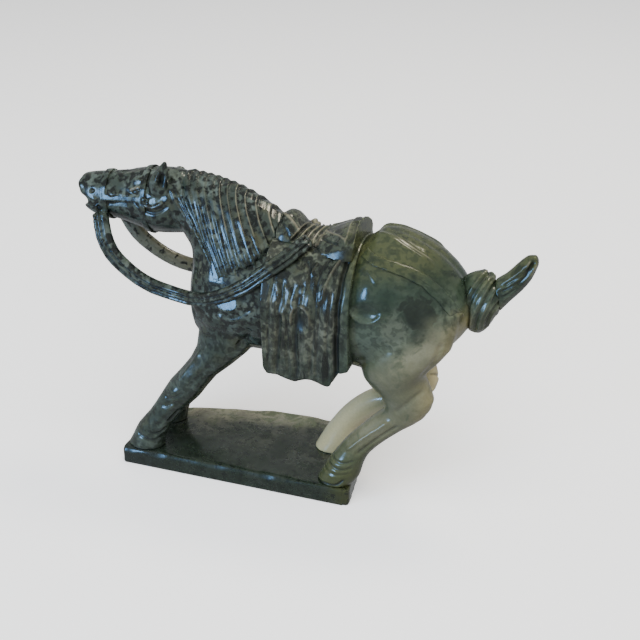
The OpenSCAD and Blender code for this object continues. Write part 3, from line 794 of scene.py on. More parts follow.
@dataclass
class CarvedHorse:
    """The horse itself, from its lips to its hooves."""

    fineness: float = 0.45
    nodes: tuple[str, ...] = ("trunk", "neck", "head", "left_ear", "right_ear", "left_foreleg",
                              "right_foreleg", "left_hind_leg", "right_hind_leg")

    def head(self, tool: Chisel) -> None:
        """Carve eyes, brows, cheeks, nostrils and lips."""
        tool.swell((-38.4, -8.8, 116.4), (5.2, 4.0, 3.0), -0.8, 8.0)
        tool.swell((-38.4, -8.6, 116.4), (2.6, 3.0, 1.7), 1.1, 8.0, marked=0.0)
        tool.stroke([(-42.0, -8.2, 116.0), (-38.8, -8.4, 118.3), (-34.8, -8.2, 117.4)], 0.8, 0.7)
        tool.stroke([(-41.6, -8.4, 115.6), (-38.2, -9.0, 114.6), (-35.4, -8.9, 116.2)], 0.7, 0.35)
        tool.swell((-40.0, -6.6, 120.6), (6.0, 3.4, 2.4), 0.9, 6.0)
        tool.stroke([(-40.6, -9.0, 113.6), (-46.0, -8.0, 113.9), (-51.5, -7.2, 113.4)], 1.3, 0.55,
                    marked=0.2)
        tool.stroke([(-42.0, -9.0, 111.0), (-47.5, -8.0, 110.6), (-53.0, -7.0, 109.4)], 1.6, -0.5,
                    marked=0.4)
        tool.stroke([(-38.8, -9.2, 114.4), (-35.8, -9.6, 112.0), (-32.6, -9.7, 110.8),
                     (-29.6, -9.5, 111.6), (-26.8, -9.1, 114.4)], 0.95, 0.75, marked=0.3)
        tool.stroke([(-39.6, -9.2, 112.4), (-36.2, -9.6, 110.1), (-32.4, -9.6, 108.9),
                     (-28.6, -9.4, 109.8), (-25.4, -9.1, 112.6)], 0.75, -0.6)
        tool.swell((-31.0, -9.0, 105.8), (8.0, 6.0, 6.5), 0.9, marked=0.0)
        tool.swell((-58.6, -5.8, 113.6), (1.5, 2.4, 1.0), -0.9, 35.0, marked=0.7)
        tool.swell((-50.4, -7.6, 113.0), (5.5, 4.0, 4.0), 0.7, marked=0.0)
        for step in (-1, 0, 1):
            ends = abs(step)
            tool.plane((-31.8 + 5.0 * step, -9.4 + 0.3 * ends, 112.9 + 2.0 * ends), WINDOW_FACING,
                       (2.2, 3.0, 1.9), 0.7)
        tool.stroke([(-63.4, -1.6, 109.6), (-60.4, -4.6, 108.8), (-57.2, -6.2, 107.0),
                     (-53.8, -6.8, 105.6)], 0.85, -1.2)
        tool.stroke([(-61.6, -3.6, 112.0), (-58.0, -5.8, 110.8), (-54.2, -7.0, 109.2)], 0.8, 0.4,
                    marked=0.2)
        tool.stroke([(-58.6, -3.6, 104.2), (-55.2, -5.4, 103.4), (-52.0, -6.2, 102.6)], 0.7, -0.6)
        tool.stroke([(-49.0, -3.2, 120.4), (-44.0, -3.4, 122.2), (-38.6, -3.4, 122.8)], 1.0, 0.45,
                    marked=0.4)
        tool.swell((-53.6, -2.6, 121.0), (3.0, 3.4, 2.0), 0.7, marked=-0.2)
        tool.swell((-46.4, -2.8, 121.6), (2.6, 3.2, 2.0), -0.5, marked=0.2)
        tool.swell((-37.0, -3.0, 123.6), (3.2, 3.2, 2.0), 0.6, marked=-0.2)
        tool.swell((-64.6, -3.6, 115.2), (2.6, 4.4, 2.6), 0.7, marked=0.0)
        for shift in (0.0, 1.9, 3.8):
            tool.stroke([(-24.6 + shift, -8.2, 119.4), (-22.2 + shift, -9.4, 114.2),
                         (-18.8 + shift, -11.0, 108.4), (-15.8 + shift, -12.4, 103.6)],
                        0.7, 0.65 - 0.1 * shift, marked=0.4)
        tool.stroke([(-21.4, -7.6, 103.8), (-24.6, -8.6, 106.6), (-25.2, -9.0, 110.6)], 1.0, -0.55)

    def ears(self, tool: Chisel) -> None:
        """Hollow the ears and sharpen their front edge."""
        tool.stroke([(-28.0, -9.6, 118.6), (-27.2, -9.8, 121.4), (-26.4, -8.8, 125.0)], 1.5, -1.9,
                    fade=0.25)
        tool.stroke([(-30.6, -9.0, 118.0), (-29.6, -9.4, 121.2), (-27.6, -8.0, 126.4)], 0.7, 0.55,
                    marked=0.4)

    def forequarter(self, tool: Chisel) -> None:
        """Carve the chest, the shoulder and the forelegs."""
        tool.plane((0.9, -19.7, 80.8), WINDOW_FACING, (6.5, 6.0, 4.4), 0.85)
        tool.stroke([(-3.4, -17.0, 75.0), (4.0, -18.8, 74.0), (12.0, -19.0, 79.6)], 1.2, 0.5,
                    marked=0.2)
        tool.swell((-4.0, -15.6, 70.0), (10.0, 8.0, 8.0), 0.9, marked=0.0)
        tool.stroke([(9.6, -17.6, 72.0), (6.6, -16.6, 65.0), (1.2, -14.2, 59.6)], 1.8, -0.9,
                    marked=0.3)
        tool.stroke([(-14.0, -13.2, 71.6), (-16.2, -9.4, 78.0), (-16.8, -4.6, 82.0)], 1.6, -0.6,
                    marked=0.3)
        tool.stroke([(-17.6, 0.0, 92.0), (-18.8, 0.0, 84.0), (-17.4, 0.0, 75.0)], 1.6, -0.7,
                    Sides.NEAR, marked=0.4)
        tool.swell((-24.5, -15.0, 35.8), (4.8, 5.5, 4.2), 0.6, 50.0, Sides.NEAR, marked=0.1)
        tool.stroke([(-20.4, -17.8, 37.6), (-24.6, -18.0, 34.4), (-29.6, -16.6, 33.6)], 1.0, -0.45,
                    Sides.NEAR)
        tool.stroke([(-23.4, -17.6, 33.0), (-28.4, -17.6, 29.8), (-33.0, -15.0, 29.6)], 1.0, -0.35,
                    Sides.NEAR)
        tool.stroke([(-24.4, -17.9, 31.4), (-29.6, -18.2, 25.6), (-34.0, -18.4, 20.4)], 1.2, 0.45,
                    Sides.NEAR, marked=0.1)
        tool.stroke([(-22.0, -16.6, 27.4), (-28.0, -17.4, 20.6)], 1.0, -0.6, Sides.NEAR)
        tool.swell((-31.5, -17.0, 17.6), (4.2, 4.5, 3.4), 0.7, 40.0, Sides.NEAR, marked=0.1)
        tool.stroke([(-28.0, -16.4, 18.6), (-33.0, -18.2, 15.4), (-38.8, -17.4, 16.8)], 0.9, -0.6,
                    Sides.NEAR)
        tool.stroke([(-30.6, -17.0, 12.6), (-36.6, -19.0, 12.6), (-42.6, -17.0, 14.6)], 0.9, -0.6,
                    Sides.NEAR)
        tool.stroke([(-13.0, -15.4, 56.0), (-18.6, -15.6, 47.4), (-23.0, -16.2, 40.4)], 1.5, 0.5,
                    Sides.NEAR, marked=0.1)
        tool.stroke([(-8.0, -15.8, 52.0), (-14.6, -16.0, 44.6), (-19.0, -16.6, 38.6)], 1.4, -0.6,
                    Sides.NEAR, marked=0.4)

    def hindquarter(self, tool: Chisel) -> None:
        """Carve the flank, the rump and the hind legs."""
        tool.swell((54.6, -19.8, 92.4), (8.0, 8.0, 7.5), 0.9, marked=0.0)
        tool.swell((54.0, -20.2, 85.6), (6.6, 5.0, 4.0), -1.0, marked=0.2)
        tool.stroke([(47.6, -20.2, 86.2), (50.0, -20.6, 83.0), (54.0, -20.6, 81.6),
                     (58.2, -20.4, 83.0), (61.0, -20.0, 86.4)], 1.0, 0.65, marked=0.25)
        tool.stroke([(52.0, -15.0, 100.2), (55.2, -16.4, 98.4), (58.2, -17.6, 96.2)], 1.2, 0.4,
                    marked=0.1)
        ridge = [(52.0, -2.6, 108.8), (58.0, -5.6, 109.4), (64.0, -7.6, 107.6),
                 (70.0, -8.7, 104.8), (76.0, -8.5, 101.7)]
        tool.stroke(ridge, 1.8, 0.75, marked=0.1)
        # Painted highlight: a low ridge beside the rump's ridge, lightened to cream as a long thin
        # highlight.
        painted_rump_highlight = [(x, y + 1.3, z + 0.5) for x, y, z in ridge[1:]]
        tool.stroke(painted_rump_highlight, 0.7, 0.3, Sides.NEAR, fade=0.3, marked=1.6)
        tool.stroke([(58.0, 0.0, 110.0), (70.0, 0.0, 107.0), (80.0, 0.0, 100.6),
                     (87.0, 0.0, 93.0)], 2.4, -0.5, Sides.NEAR, marked=0.1)
        tool.stroke([(51.0, -16.0, 62.0), (58.0, -17.4, 66.0), (64.0, -18.0, 73.0)], 2.4, -0.5,
                    marked=0.1)
        tool.stroke([(80.4, -14.6, 76.0), (78.6, -15.2, 68.0), (74.6, -15.6, 60.0)], 2.0, -0.55,
                    marked=0.1)
        tool.swell((68.0, -17.0, 62.0), (9.0, 6.0, 9.0), 0.8, marked=0.0)
        near = Sides.NEAR
        tool.stroke([(78.0, -14.4, 55.4), (72.0, -16.0, 51.4), (64.6, -15.8, 43.4)], 1.5, -0.6, near,
                    marked=0.2)
        sinew = [(67.4, -15.4, 38.6), (57.4, -16.2, 29.4), (50.6, -17.0, 22.8)]
        shin = [(x - 4.2, y + 0.3, z + 1.0) for x, y, z in sinew]
        tool.stroke(shin, 0.9, 0.75, near, marked=0.2)
        tool.stroke(sinew, 1.1, -0.75, near, marked=0.5)
        tool.stroke([(38.6, -12.4, 21.6), (41.4, -16.4, 19.4), (45.8, -18.0, 18.6),
                     (50.4, -16.4, 20.8)], 0.75, -0.5, near, lip=0.25)
        tool.stroke([(36.8, -12.0, 18.8), (40.2, -16.6, 16.6), (45.0, -18.6, 15.8),
                     (50.0, -17.0, 17.6)], 0.75, -0.45, near, lip=0.25)
        tool.stroke([(35.0, -12.0, 15.6), (39.0, -16.8, 13.8), (44.0, -18.6, 13.4),
                     (49.4, -17.0, 15.0)], 0.7, -0.3, near, lip=0.2)
        # The groove round the foot of the near hind hoof is painted nearly black as shade.
        tool.stroke([(29.8, -16.6, 8.3), (33.8, -18.0, 7.9), (38.6, -18.3, 8.3), (43.6, -18.6, 8.6),
                     (46.8, -18.2, 11.6)], 0.6, -0.9, near, fade=0.04, marked=1.3)
        far = Sides.FAR
        tool.stroke([(66.0, -6.0, 47.0), (58.0, -7.0, 38.0), (50.0, -8.0, 28.0)], 1.2, 0.5, far,
                    marked=0.1)
        tool.stroke([(40.0, -10.0, 17.0), (44.0, -12.4, 16.0), (48.0, -11.0, 18.0)], 0.8, -0.6, far)
        tool.stroke([(72.6, -3.2, 52.4), (75.6, -6.4, 50.2), (77.0, -9.4, 47.4)], 0.9, -0.6, far)

    def make(self, finish: bpy.types.Material) -> None:
        """Carve the horse and hand it over."""
        tool = Chisel(block("carved_horse", self.nodes), self.fineness)
        tool.relax(8)
        # Strokes and swells note their depth as their marked share sets, which paints shade into
        # their grooves and highlights onto their ridges.
        self.head(tool)
        tool.refresh()
        self.ears(tool)
        self.forequarter(tool)
        self.hindquarter(tool)
        tool.refresh()
        tool.relax(1)
        hand_over(tool.finish(), self.nodes, finish)


@dataclass
class Mane:
    """Locks that fall from the crest down both sides of the neck."""

    fineness: float = 0.32
    lock: float = 3.1
    hair: float = 1.6
    thickness: float = 1.2

    def border(self, tool: Chisel) -> np.ndarray:
        """Measure how far inside the mane's front and lower edge each point lies."""
        edge = FIGURE.spots([(-22.0, 0.0, 118.0), (-14.5, 0.0, 103.7), (-7.5, 0.0, 94.4),
                             (-4.4, 0.0, 85.4), (6.2, 0.0, 88.0), (14.4, 0.0, 96.2),
                             (18.4, 0.0, 104.4)])
        flat = tool.points * [1.0, 0.0, 1.0]
        best = np.full(len(flat), 1e9)
        for start, end in zip(edge[:-1], edge[1:]):
            step = end - start
            share = np.clip((flat - start) @ step / (step @ step), 0.0, 1.0)
            best = np.minimum(best, np.linalg.norm(flat - start - share[:, None] * step, axis=1))
        return best

    def make(self, finish: bpy.types.Material) -> None:
        """Comb the mane and hand it over."""
        tool = Chisel(block("mane", ["mane"]), self.fineness)
        tool.relax(2)
        x, y, z = tool.points.T
        outer = ease(tool.normals[:, 1] * np.sign(y) + 0.6 * tool.normals[:, 2], 0.0, 0.35)
        wander = 0.45 * np.sin(z / 8.0 + 0.6 * np.sign(y)) + 0.2 * np.sin(z / 3.7 + x / 5.0)
        fall = x + 0.45 * (z - 108.0) + wander
        turn = fall / self.lock + 0.22 * np.sin(x / 6.1 + 1.0)
        lap = turn - np.floor(turn)
        lock = lap ** 1.2 * (1.0 - ease(lap, 0.84, 1.0))
        strand = fall / self.hair + 0.15 * np.sin(x / 2.9)
        part = strand - np.floor(strand)
        hair = 1.0 - np.exp(-((part - 0.5) / 0.16) ** 2)
        inside = self.border(tool)
        tips = ease(inside + 1.4 * lock, 0.8, 4.4)
        high = ease(z, 98.0, 106.0)
        relief = (0.85 * lock + 0.12 * hair) * high + (0.25 * lock + 0.42 * hair) * (1 - high)
        crest = ease(np.abs(y), 6.0, 1.0)
        amount = tips * (relief - 0.4) - (self.thickness + 0.25) * (1 - tips)
        amount += crest * (0.4 * lock - 0.1)
        tool.push(amount * outer, 0.0)
        # Painted highlight: a cream line along the lit edge of each lock, strongest on the upper
        # rear of the mane. Painted shade: the partings between locks and hairs are darkened. The
        # crest is noted too, which roughens it and darkens it a little.
        grade = 0.2 + 0.8 * np.abs(np.sin(1.7 * np.floor(turn) + 0.5))
        grade = grade * (0.2 + 0.8 * ease(x, -13.0, -5.0)) * ease(z - 3.0 * grade, 101.0, 106.0)
        painted_lock_highlight = 0.7 * np.exp(-((lap - 0.8) / 0.09) ** 2) * grade
        shade = np.exp(-((lap - 1.0) / 0.07) ** 2) * high + (1.0 - hair) * (0.25 + 0.45 * (1 - high))
        tool.cut += outer * tips * (shade * 0.6 - painted_lock_highlight) + crest * 0.2
        tool.refresh()
        tool.relax(1)
        hand_over(tool.finish(150000), ["mane"], finish)


@dataclass
class Bridle:
    """Noseband, cheek straps, brow band, their rings and the bit."""

    fineness: float = 0.26

    def ring(self, drawn: Point, radius: float, wire: float, lean: float) -> bpy.types.Object:
        """Make one ring that lies against the cheek.

        Args:
            drawn: The ring's middle.
            radius: Its radius, in millimetres.
            wire: The radius of its rim, in millimetres.
            lean: How far it leans towards the front, in degrees.

        Returns:
            The ring.
        """
        clear()
        centre = FIGURE.spots([drawn])[0] * MM
        bpy.ops.mesh.primitive_torus_add(
            location=tuple(centre), rotation=(math.radians(90), 0.0, math.radians(lean)),
            major_radius=radius * MM, minor_radius=wire * MM, major_segments=32, minor_segments=12)
        bpy.ops.object.transform_apply(location=True, rotation=True, scale=True)
        return bpy.context.object

    def make(self, finish: bpy.types.Material) -> None:
        """Lay the bridle on the head and hand it over."""
        rings = []
        for side in (1.0, -1.0):
            rings.append(self.ring((-34.6, -9.5 * side, 113.0), 1.1, 0.45, 6.0 * side))
            rings.append(self.ring((-55.4, -6.9 * side, 107.4), 1.7, 0.6, 14.0 * side))
        tool = Chisel(block("bridle", ["bridle"], rings), self.fineness)
        tool.relax(7)
        hand_over(tool.finish(90000), ["bridle"], finish)


@dataclass
class Reins:
    """A pair of reins of three strands each, from the bit to the saddle."""

    fineness: float = 0.34
    width: float = 6.0
    route: tuple[Point, ...] = (
        (-55, -8, 105.5), (-53.3, -10, 97.5), (-50, -11, 91), (-45.2, -11.5, 86.6),
        (-39, -12, 82.6), (-32.2, -12.5, 80), (-24.5, -13, 78.7), (-17, -14.5, 78.4),
        (-9, -17, 80), (0, -19, 83.9), (9.6, -20, 89.8), (18.6, -19, 97.1), (25, -16, 102),
        (30, -11.5, 106.6))

    def strands(self, tool: Chisel, side: float) -> None:
        """Part a rein into three strands.

        Args:
            tool: The chisel on the rein.
            side: 1 for the near rein, -1 for the far one.
        """
        route = FIGURE.spots(self.route, side) * [1.0, 0.0, 1.0]
        flat = tool.points * [1.0, 0.0, 1.0]
        best = np.full(len(flat), 1e9)
        across = np.zeros(len(flat))
        for start, end in zip(route[:-1], route[1:]):
            step = end - start
            share = np.clip((flat - start) @ step / (step @ step), 0.0, 1.0)
            offset = flat - start - share[:, None] * step
            away = np.linalg.norm(offset, axis=1)
            signed = (step[2] * offset[:, 0] - step[0] * offset[:, 2]) / np.linalg.norm(step)
            closer = away < best
            best = np.where(closer, away, best)
            across = np.where(closer, signed, across)
        relief = np.zeros(len(flat))
        for place in (-0.16, 0.18):
            relief -= 0.8 * np.exp(-((across - place * self.width) / 0.4) ** 2)
        for place in (-0.33, 0.01, 0.35):
            relief += 0.22 * np.exp(-((across - place * self.width) / 0.62) ** 2)
        outward = ease(tool.normals[:, 1] * -side, -0.25, 0.25)
        # Noting the strands paints shade into the partings and highlights onto the strands' crowns.
        tool.push(relief * outward * (0.75 if side > 0 else 0.5), 0.9 if side > 0 else 0.5)

    def make(self, finishes: dict[str, bpy.types.Material]) -> None:
        """Cut both reins and hand them over.

        Args:
            finishes: The material of each rein by its node.
        """
        for node, side in (("left_rein", 1.0), ("right_rein", -1.0)):
            tool = Chisel(block(f"{node}_strands", [node]), self.fineness)
            tool.relax(3)
            self.strands(tool, side)
            tool.refresh()
            if side > 0:
                # The bit's ridges get a painted highlight.
                for shift in (0.0, 2.1, 4.2):
                    tool.stroke([(-58.6, -7.4, 104.6 - shift), (-55.0, -10.6, 104.0 - shift),
                                 (-51.2, -8.0, 103.6 - shift)], 0.6, 0.5, Sides.NEAR, marked=0.5)
            tool.refresh()
            tool.relax(1)
            hand_over(tool.finish(120000), [node], finishes[node])


@dataclass
class SaddleCloth:
    """The pleated cloth under the saddle, cut in the stone."""

    fineness: float = 0.42
    hem: float = 53.0

    def make(self, finish: bpy.types.Material) -> None:
        """Cut the pleats and hand the cloth over."""
        tool = Chisel(block("pleated_cloth", ["saddle_cloth"]), self.fineness)
        tool.relax(4)
        x, _, z = tool.points.T
        low = ease(z, self.hem + 5.0, self.hem)
        scallop = 1.1 * np.abs(np.sin((x - 15.0) / 4.1)) + 0.5 * np.sin(x / 2.3)
        tool.points[:, 2] += low * scallop
        # The strokes below paint shade into the pleats' grooves and the arch's hollow, and
        # highlights onto the folds and the flap's edge.
        pleats = ((18.4, 0.7, 0.45), (21.6, 1.1, 0.75), (26.4, 0.6, 0.35), (29.4, 1.2, 0.8),
                  (34.8, 0.6, 0.6), (37.2, 0.9, 0.5), (41.6, 0.7, 0.45))
        for index, (place, width, depth) in enumerate(pleats):
            sway = 0.9 * math.sin(index * 1.9)
            top = 97.0 - 5.0 * math.sin(index * 2.3) ** 2
            tool.stroke([(place + 2.6 - 0.3 * index, -18.5, top), (place + 1.2 + sway, -22.5, 86.0),
                         (place + sway, -22.9, 72.0), (place - 0.4, -22.0, 60.0),
                         (place - 0.8, -20.5, 53.6)], width, -depth, lip=0.2, marked=0.8)
        for place, height in ((19.9, 0.35), (24.6, 0.45), (32.2, 0.5), (39.4, 0.4)):
            tool.stroke([(place + 2.4, -21.0, 92.0), (place + 0.8, -22.9, 78.0),
                         (place, -22.6, 64.0), (place - 0.2, -21.4, 56.0)], 2.0, height, marked=0.05)
        # The deep rear groove is painted nearly black as shade.
        tool.stroke([(45.6, -14.0, 103.0), (45.2, -18.6, 96.0), (44.8, -21.6, 86.0),
                     (44.4, -22.4, 72.0), (44.2, -21.0, 58.0), (44.0, -19.0, 53.0)], 1.15, -1.7,
                    fade=0.02, marked=1.4)
        near = Sides.NEAR
        tool.stroke([(20.3, -20.6, 93.2), (22.4, -21.8, 89.4), (23.9, -22.5, 85.0),
                     (25.2, -22.8, 78.2)], 0.9, 0.75, near, marked=0.4)
        tool.stroke([(25.0, -21.0, 92.6), (26.6, -22.1, 88.6)], 1.3, 0.6, near, fade=0.3, marked=0.3)
        tool.stroke([(29.6, -20.0, 94.4), (31.2, -21.6, 89.6)], 1.0, 0.6, near, fade=0.3, marked=0.3)
        tool.stroke([(27.4, -22.9, 77.6), (27.8, -22.9, 83.6), (30.8, -22.8, 86.0),
                     (34.4, -22.8, 83.8), (34.8, -22.9, 77.6)], 0.95, 0.8, marked=0.4)
        tool.swell((31.2, -22.9, 79.6), (3.0, 4.0, 5.4), -0.9, marked=1.0)
        tool.stroke([(44.4, -13.0, 105.2), (42.2, -15.4, 100.4), (40.4, -18.6, 96.6),
                     (39.2, -20.8, 92.8), (38.2, -22.4, 87.0)], 1.0, 1.0, marked=0.3)
        tool.stroke([(42.0, -12.4, 105.2), (38.8, -14.8, 101.0), (37.0, -18.4, 96.4),
                     (36.4, -21.0, 91.4)], 0.8, -0.7)
        tool.stroke([(31.0, -16.4, 102.4), (33.4, -19.0, 97.0), (34.4, -21.6, 91.0)], 0.7, -0.6)
        tool.stroke([(35.6, -15.6, 101.6), (34.2, -18.0, 98.4), (31.6, -20.6, 93.4)], 0.8, 0.5,
                    marked=0.4)
        for place, radii in (((21.2, -21.6, 90.2), (1.5, 4.0, 4.4)),
                             ((23.4, -22.6, 84.8), (1.3, 4.0, 4.0)),
                             ((26.0, -21.8, 90.4), (1.3, 4.0, 2.8)),
                             ((30.7, -21.3, 91.7), (1.0, 4.0, 2.8))):
            tool.plane(place, WINDOW_FACING, radii, 0.8)
        tool.refresh()
        tool.relax(1)
        hand_over(tool.finish(), ["saddle_cloth"], finish)


@dataclass
class Saddle:
    """The saddle, its pommel, folded seat and high cantle."""

    fineness: float = 0.3

    def make(self, finish: bpy.types.Material) -> None:
        """Cut the folds and hand the saddle over."""
        tool = Chisel(block("folded_saddle", ["saddle"]), self.fineness)
        tool.relax(4)
        near = Sides.NEAR
        # The strokes below paint shade into the folds' grooves and highlights onto the pommel's and
        # cantle's ridges.
        for place in (24.4, 26.8, 29.2, 31.6):
            tool.stroke([(place + 2.6, 4.0, 107.6), (place + 1.6, -2.0, 107.4),
                         (place + 0.6, -7.0, 106.4), (place, -12.5, 105.6),
                         (place - 1.0, -14.4, 102.4)], 0.75, -0.75, near, lip=0.5)
            tool.stroke([(place + 2.6, 5.0, 107.6), (place + 1.6, 9.0, 106.6),
                         (place, 13.0, 104.4)], 0.75, -0.6, near, lip=0.5)
        tool.stroke([(15.9, 2.0, 110.2), (18.2, -1.6, 111.2), (21.1, -4.9, 111.0),
                     (23.9, -5.4, 108.6), (26.0, -6.6, 106.8)], 0.85, 0.7, near, marked=1.0)
        tool.stroke([(15.9, -2.0, 110.2), (18.2, -4.6, 109.4), (21.1, -7.9, 107.8),
                     (22.6, -10.4, 105.4)], 0.8, -0.6, marked=1.0)
        tool.stroke([(44.3, 0.0, 112.2), (44.8, -5.0, 111.2), (45.2, -9.0, 109.4),
                     (45.0, -12.0, 106.6)], 0.7, -0.8, marked=1.0, lip=0.5)
        tool.stroke([(33.4, -2.0, 107.4), (36.6, -5.6, 108.6), (41.0, -9.4, 109.4),
                     (44.6, -11.6, 107.8)], 0.8, 0.5, marked=0.8)
        tool.stroke([(33.8, -7.0, 106.0), (37.4, -9.8, 106.6), (41.6, -12.0, 106.4)], 0.8, -0.6)
        tool.plane((47.3, 0.0, 109.6), (1.0, 0.0, 0.2), (3.5, 18.0, 7.0), 0.85, near)
        tool.refresh()
        tool.relax(1)
        hand_over(tool.finish(120000), ["saddle"], finish)


@dataclass
class Crupper:
    """The doubled straps from the saddle over the rump to the tail."""

    fineness: float = 0.24
    stations: int = 8
    trim: float = 0.02
    slice_reach: float = 1.0
    line_drop: float = 0.85

    def middle(self, tool: Chisel) -> np.ndarray:
        """Follow the middle of a strap, from the saddle down to the tail.

        Args:
            tool: The chisel on the strap.

        Returns:
            Places along it, in millimetres.
        """
        travel = tool.points[:, 0] - tool.points[:, 2]
        low, high = travel.min(), travel.max()
        trim = self.trim * (high - low)
        return np.array([tool.points[np.abs(travel - stop) < self.slice_reach].mean(axis=0)
                         for stop in np.linspace(low + trim, high - trim, self.stations)])

    def make(self, finish: bpy.types.Material) -> None:
        """Double both straps and hand them over."""
        for node in ("left_crupper", "right_crupper"):
            tool = Chisel(block(f"{node}_lines", [node]), self.fineness)
            tool.relax(3)
            line = self.middle(tool)
            # Painted shade in a groove just below the strap's middle, and a painted highlight on a
            # ridge along it.
            tool.follow(line - [0.0, 0.0, self.line_drop], 0.5, -0.4, fade=0.01)
            tool.follow(line, 0.5, 0.35, fade=0.01, marked=1.5)
            tool.refresh()
            hand_over(tool.finish(60000), [node], finish)


@dataclass
class Tail:
    """The tied knot of the tail and the plume that flies from it."""

    fineness: float = 0.3

    def make(self, finish: bpy.types.Material) -> None:
        """Wrap the knot, comb the plume and hand both over."""
        tool = Chisel(block("wrapped_knot", ["tail_knot"]), self.fineness)
        tool.relax(4)
        # The wraps' grooves get painted shade and their raised lips a faint painted highlight.
        tool.stroke([(94.6, 1.0, 98.6), (91.8, -4.6, 96.6), (89.0, -7.4, 91.6), (87.6, -7.0, 86.0),
                     (86.9, -4.6, 79.6)], 1.0, -0.65, lip=0.5, fade=0.05, marked=0.7)
        tool.stroke([(97.8, 0.0, 96.0), (96.0, -5.4, 94.6), (93.4, -8.2, 89.0), (91.4, -8.2, 83.0),
                     (90.6, -5.4, 77.0)], 1.0, -0.65, lip=0.5, fade=0.05, marked=0.7)
        tool.stroke([(98.8, -2.0, 90.6), (97.2, -5.8, 87.4), (95.4, -6.8, 82.6),
                     (94.8, -4.2, 77.6)], 0.9, -0.6, lip=0.5, fade=0.05, marked=0.7)
        tool.stroke([(89.4, -6.4, 95.0), (88.0, -7.0, 90.0)], 1.2, 0.3, marked=0.0)
        tool.refresh()
        tool.relax(1)
        hand_over(tool.finish(90000), ["tail_knot"], finish)
        tool = Chisel(block("flying_plume", ["tail_plume"]), self.fineness)
        tool.relax(4)
        # The plume's grooves get painted shade and their lips a faint painted highlight.
        for shift, depth in ((0.0, 0.7), (2.6, 0.6), (-2.4, 0.5)):
            tool.stroke([(97.6 + 0.4 * shift, -4.6, 92.6 + shift),
                         (101.6 + 0.3 * shift, -4.2, 95.4 + shift),
                         (104.8 + 0.2 * shift, -3.8, 98.6 + 0.9 * shift),
                         (107.6, -3.0, 102.4 + 0.5 * shift), (108.8, -1.6, 105.4)],
                        0.8, -depth, lip=0.4)
        tool.refresh()
        tool.relax(1)
        hand_over(tool.finish(60000), ["tail_plume"], finish)


@dataclass
class Slab:
    """The rough-edged slab that the horse stands on."""

    fineness: float = 0.55
    lift: float = 1.0

    def make(self, finish: bpy.types.Material) -> None:
        """Dress the slab's top and edges and hand it over."""
        tool = Chisel(block("rough_slab", ["base_slab"]), self.fineness)
        x, y, z = tool.points.T.copy()
        free = ease(z, self.lift * 0.4, self.lift * 2.0)
        tool.relax(5, free)
        roll = (0.22 * np.sin(x / 6.3 + y / 9.0) * np.sin(y / 5.1 - x / 14.0)
                + 0.12 * np.sin(x / 2.7 + 1.3) * np.sin(y / 3.3))
        # The rolling is noted at half strength, so its dips get a faint painted shade and its rises
        # a faint painted highlight.
        tool.push(roll * free - 0.12 * free, 0.5)
        tool.stroke([(-40.0, -19.0, 6.6), (-20.0, -19.3, 6.9), (5.0, -19.3, 6.6),
                     (28.0, -19.3, 7.0)], 1.4, -0.3, Sides.NEAR, marked=0.0)
        for place, width, depth in ((-46.0, 3.0, 0.8), (-33.0, 2.2, 0.5), (-8.0, 3.4, 0.45),
                                    (14.0, 2.6, 0.5), (24.0, 3.0, 0.4)):
            tool.swell((place, -19.4, 7.2), (width * 2.2, 2.6, 2.6), -depth * 0.7, 0.0, Sides.NEAR,
                       marked=0.0)
        for place, across, width, depth in ((-38.0, 17.0, 4.0, 0.7), (-18.0, 20.0, 3.4, 0.6),
                                            (4.0, 24.0, 4.6, 0.7), (26.0, 27.0, 4.0, 0.6)):
            tool.swell((place, across, 7.4), (width * 1.8, 3.4, 3.0), -depth * 0.8, 0.0, Sides.NEAR,
                       marked=0.0)
        # Painted highlights: small dents on the top are lightened to cream glints.
        for place, across in ((11.5, -4.1), (15.5, -6.4), (18.5, -5.6), (8.6, -3.0), (20.4, -8.2)):
            tool.swell((place, across, 7.4), (1.0, 0.9, 0.9), -0.3, 0.0, Sides.NEAR, marked=-0.9)
        tool.refresh()
        tool.relax(1, free)
        hand_over(tool.finish(), ["base_slab"], finish)


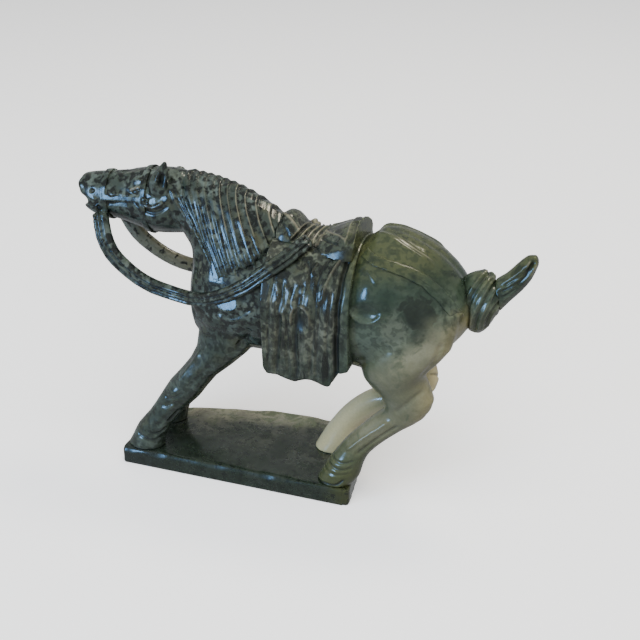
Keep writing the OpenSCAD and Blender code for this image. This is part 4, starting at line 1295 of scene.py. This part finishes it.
# ------------------------------------------------------------------- studio
@dataclass
class Studio:
    """The floor, the soft lights and the camera."""

    azimuth: float = 18.5
    elevation: float = 26.65
    distance: float = 395.6
    aside: float = 7.3
    above: float = 2.1
    lens: float = 57.26
    sensor: float = 36.0
    floor_side: float = 6.0
    floor_drop: float = 0.0002
    room_tint: Colour = (0.95, 0.97, 1.0, 1.0)
    room_glow: float = 0.42
    finish: FloorFinish = field(default_factory=FloorFinish)

    def centre(self) -> Vector:
        """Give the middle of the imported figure, in metres."""
        return (Vector(PACKED_BOX[0]) + Vector(PACKED_BOX[1])) / 2

    def place_camera(self) -> None:
        """Set the camera up."""
        turn = math.radians(self.azimuth)
        tilt = math.radians(self.elevation)
        right = Vector((math.cos(turn), math.sin(turn), 0.0))
        ahead = Vector((-math.sin(turn) * math.cos(tilt), math.cos(turn) * math.cos(tilt),
                        -math.sin(tilt)))
        up = right.cross(ahead)
        aim = self.centre() + right * self.aside * MM + up * self.above * MM
        clear()
        bpy.ops.object.camera_add(location=aim - ahead * self.distance * MM,
                                  rotation=ahead.to_track_quat("-Z", "Y").to_euler())
        camera = bpy.context.object
        camera.name = "studio_camera"
        camera.data.lens = self.lens
        camera.data.sensor_width = self.sensor
        camera.data.clip_start = 0.01
        bpy.context.scene.camera = camera

    def lamp(self, name: str, away: Point, distance: float, size: tuple[float, float],
             power: float, tint: Point, mirrored: bool = True) -> None:
        """Hang one soft lamp that faces the figure.

        Args:
            name: The lamp's name.
            away: The direction from the figure to the lamp.
            distance: How far off it hangs, in metres.
            size: Its width and height, in metres.
            power: Its power in watts.
            tint: Its colour.
            mirrored: Whether the polish mirrors it.
        """
        clear()
        direction = Vector(away).normalized()
        place = self.centre() + direction * distance
        bpy.ops.object.light_add(type="AREA", location=place,
                                 rotation=(-direction).to_track_quat("-Z", "Y").to_euler())
        light = bpy.context.object
        light.name = name
        light.data.shape = "RECTANGLE"
        light.data.size, light.data.size_y = size
        light.data.energy = power
        light.data.color = tint
        light.visible_glossy = mirrored

    def make(self) -> None:
        """Lay the floor, hang the lamps and set the camera up."""
        self.place_camera()
        clear()
        middle = self.centre()
        bpy.ops.mesh.primitive_plane_add(size=self.floor_side,
                                         location=(middle.x, middle.y, -self.floor_drop))
        floor = bpy.context.object
        floor.name = "pale_floor"
        bpy.ops.object.mode_set(mode="EDIT")
        bpy.ops.mesh.subdivide(number_cuts=5)
        bpy.ops.object.mode_set(mode="OBJECT")
        floor.data.materials.append(self.finish.build())
        floor.visible_glossy = False
        floor.visible_diffuse = False
        self.lamp("cool_window", (-0.62, -0.75, 0.12), 1.2, (0.26, 0.46), 9.0, (0.24, 0.54, 1.0))
        self.lamp("warm_ceiling", (0.2, 0.36, 0.9), 1.3, (0.34, 0.3), 6.0, (1.0, 0.9, 0.7))
        self.lamp("soft_front", (0.2, -0.55, 0.9), 1.8, (2.0, 2.0), 70.0, (1.0, 1.0, 1.0), False)
        world = bpy.context.scene.world or bpy.data.worlds.new("soft_room")
        bpy.context.scene.world = world
        world.use_nodes = True
        background = world.node_tree.nodes.get("Background")
        background.inputs[0].default_value = self.room_tint
        background.inputs[1].default_value = self.room_glow


def main() -> None:
    """Build every piece in order, tie each to the frame and set up the studio."""
    logging.basicConfig(level=logging.INFO, format="%(name)s: %(message)s")
    carved = JadeFinish("carved_jade").build()
    tack = JadeFinish("tack_jade", sheen=0.24, figure_ground=stone(74, 82, 68),
                      figure_light=stone(132, 136, 116), speckles=0.5, streaks=0.8).build()
    combed = JadeFinish("mane_jade", sheen=0.2, figure_ground=stone(60, 70, 61)).build()
    tail = JadeFinish("tail_jade", sheen=0.18, paleness=0.25).build()
    pale = JadeFinish("pale_rein_jade", figure_ground=stone(134, 132, 108),
                      figure_light=stone(156, 152, 130), speckles=-2.5).build()
    CarvedHorse().make(carved)
    Mane().make(combed)
    Bridle().make(combed)
    Reins().make({"left_rein": combed, "right_rein": pale})
    SaddleCloth().make(tack)
    Saddle().make(tack)
    Crupper().make(carved)
    Tail().make(tail)
    Slab().make(SlabFinish("slab_jade", sheen=0.26, glaze=0.2).build())
    Studio().make()


if __name__ == "__main__":
    main()
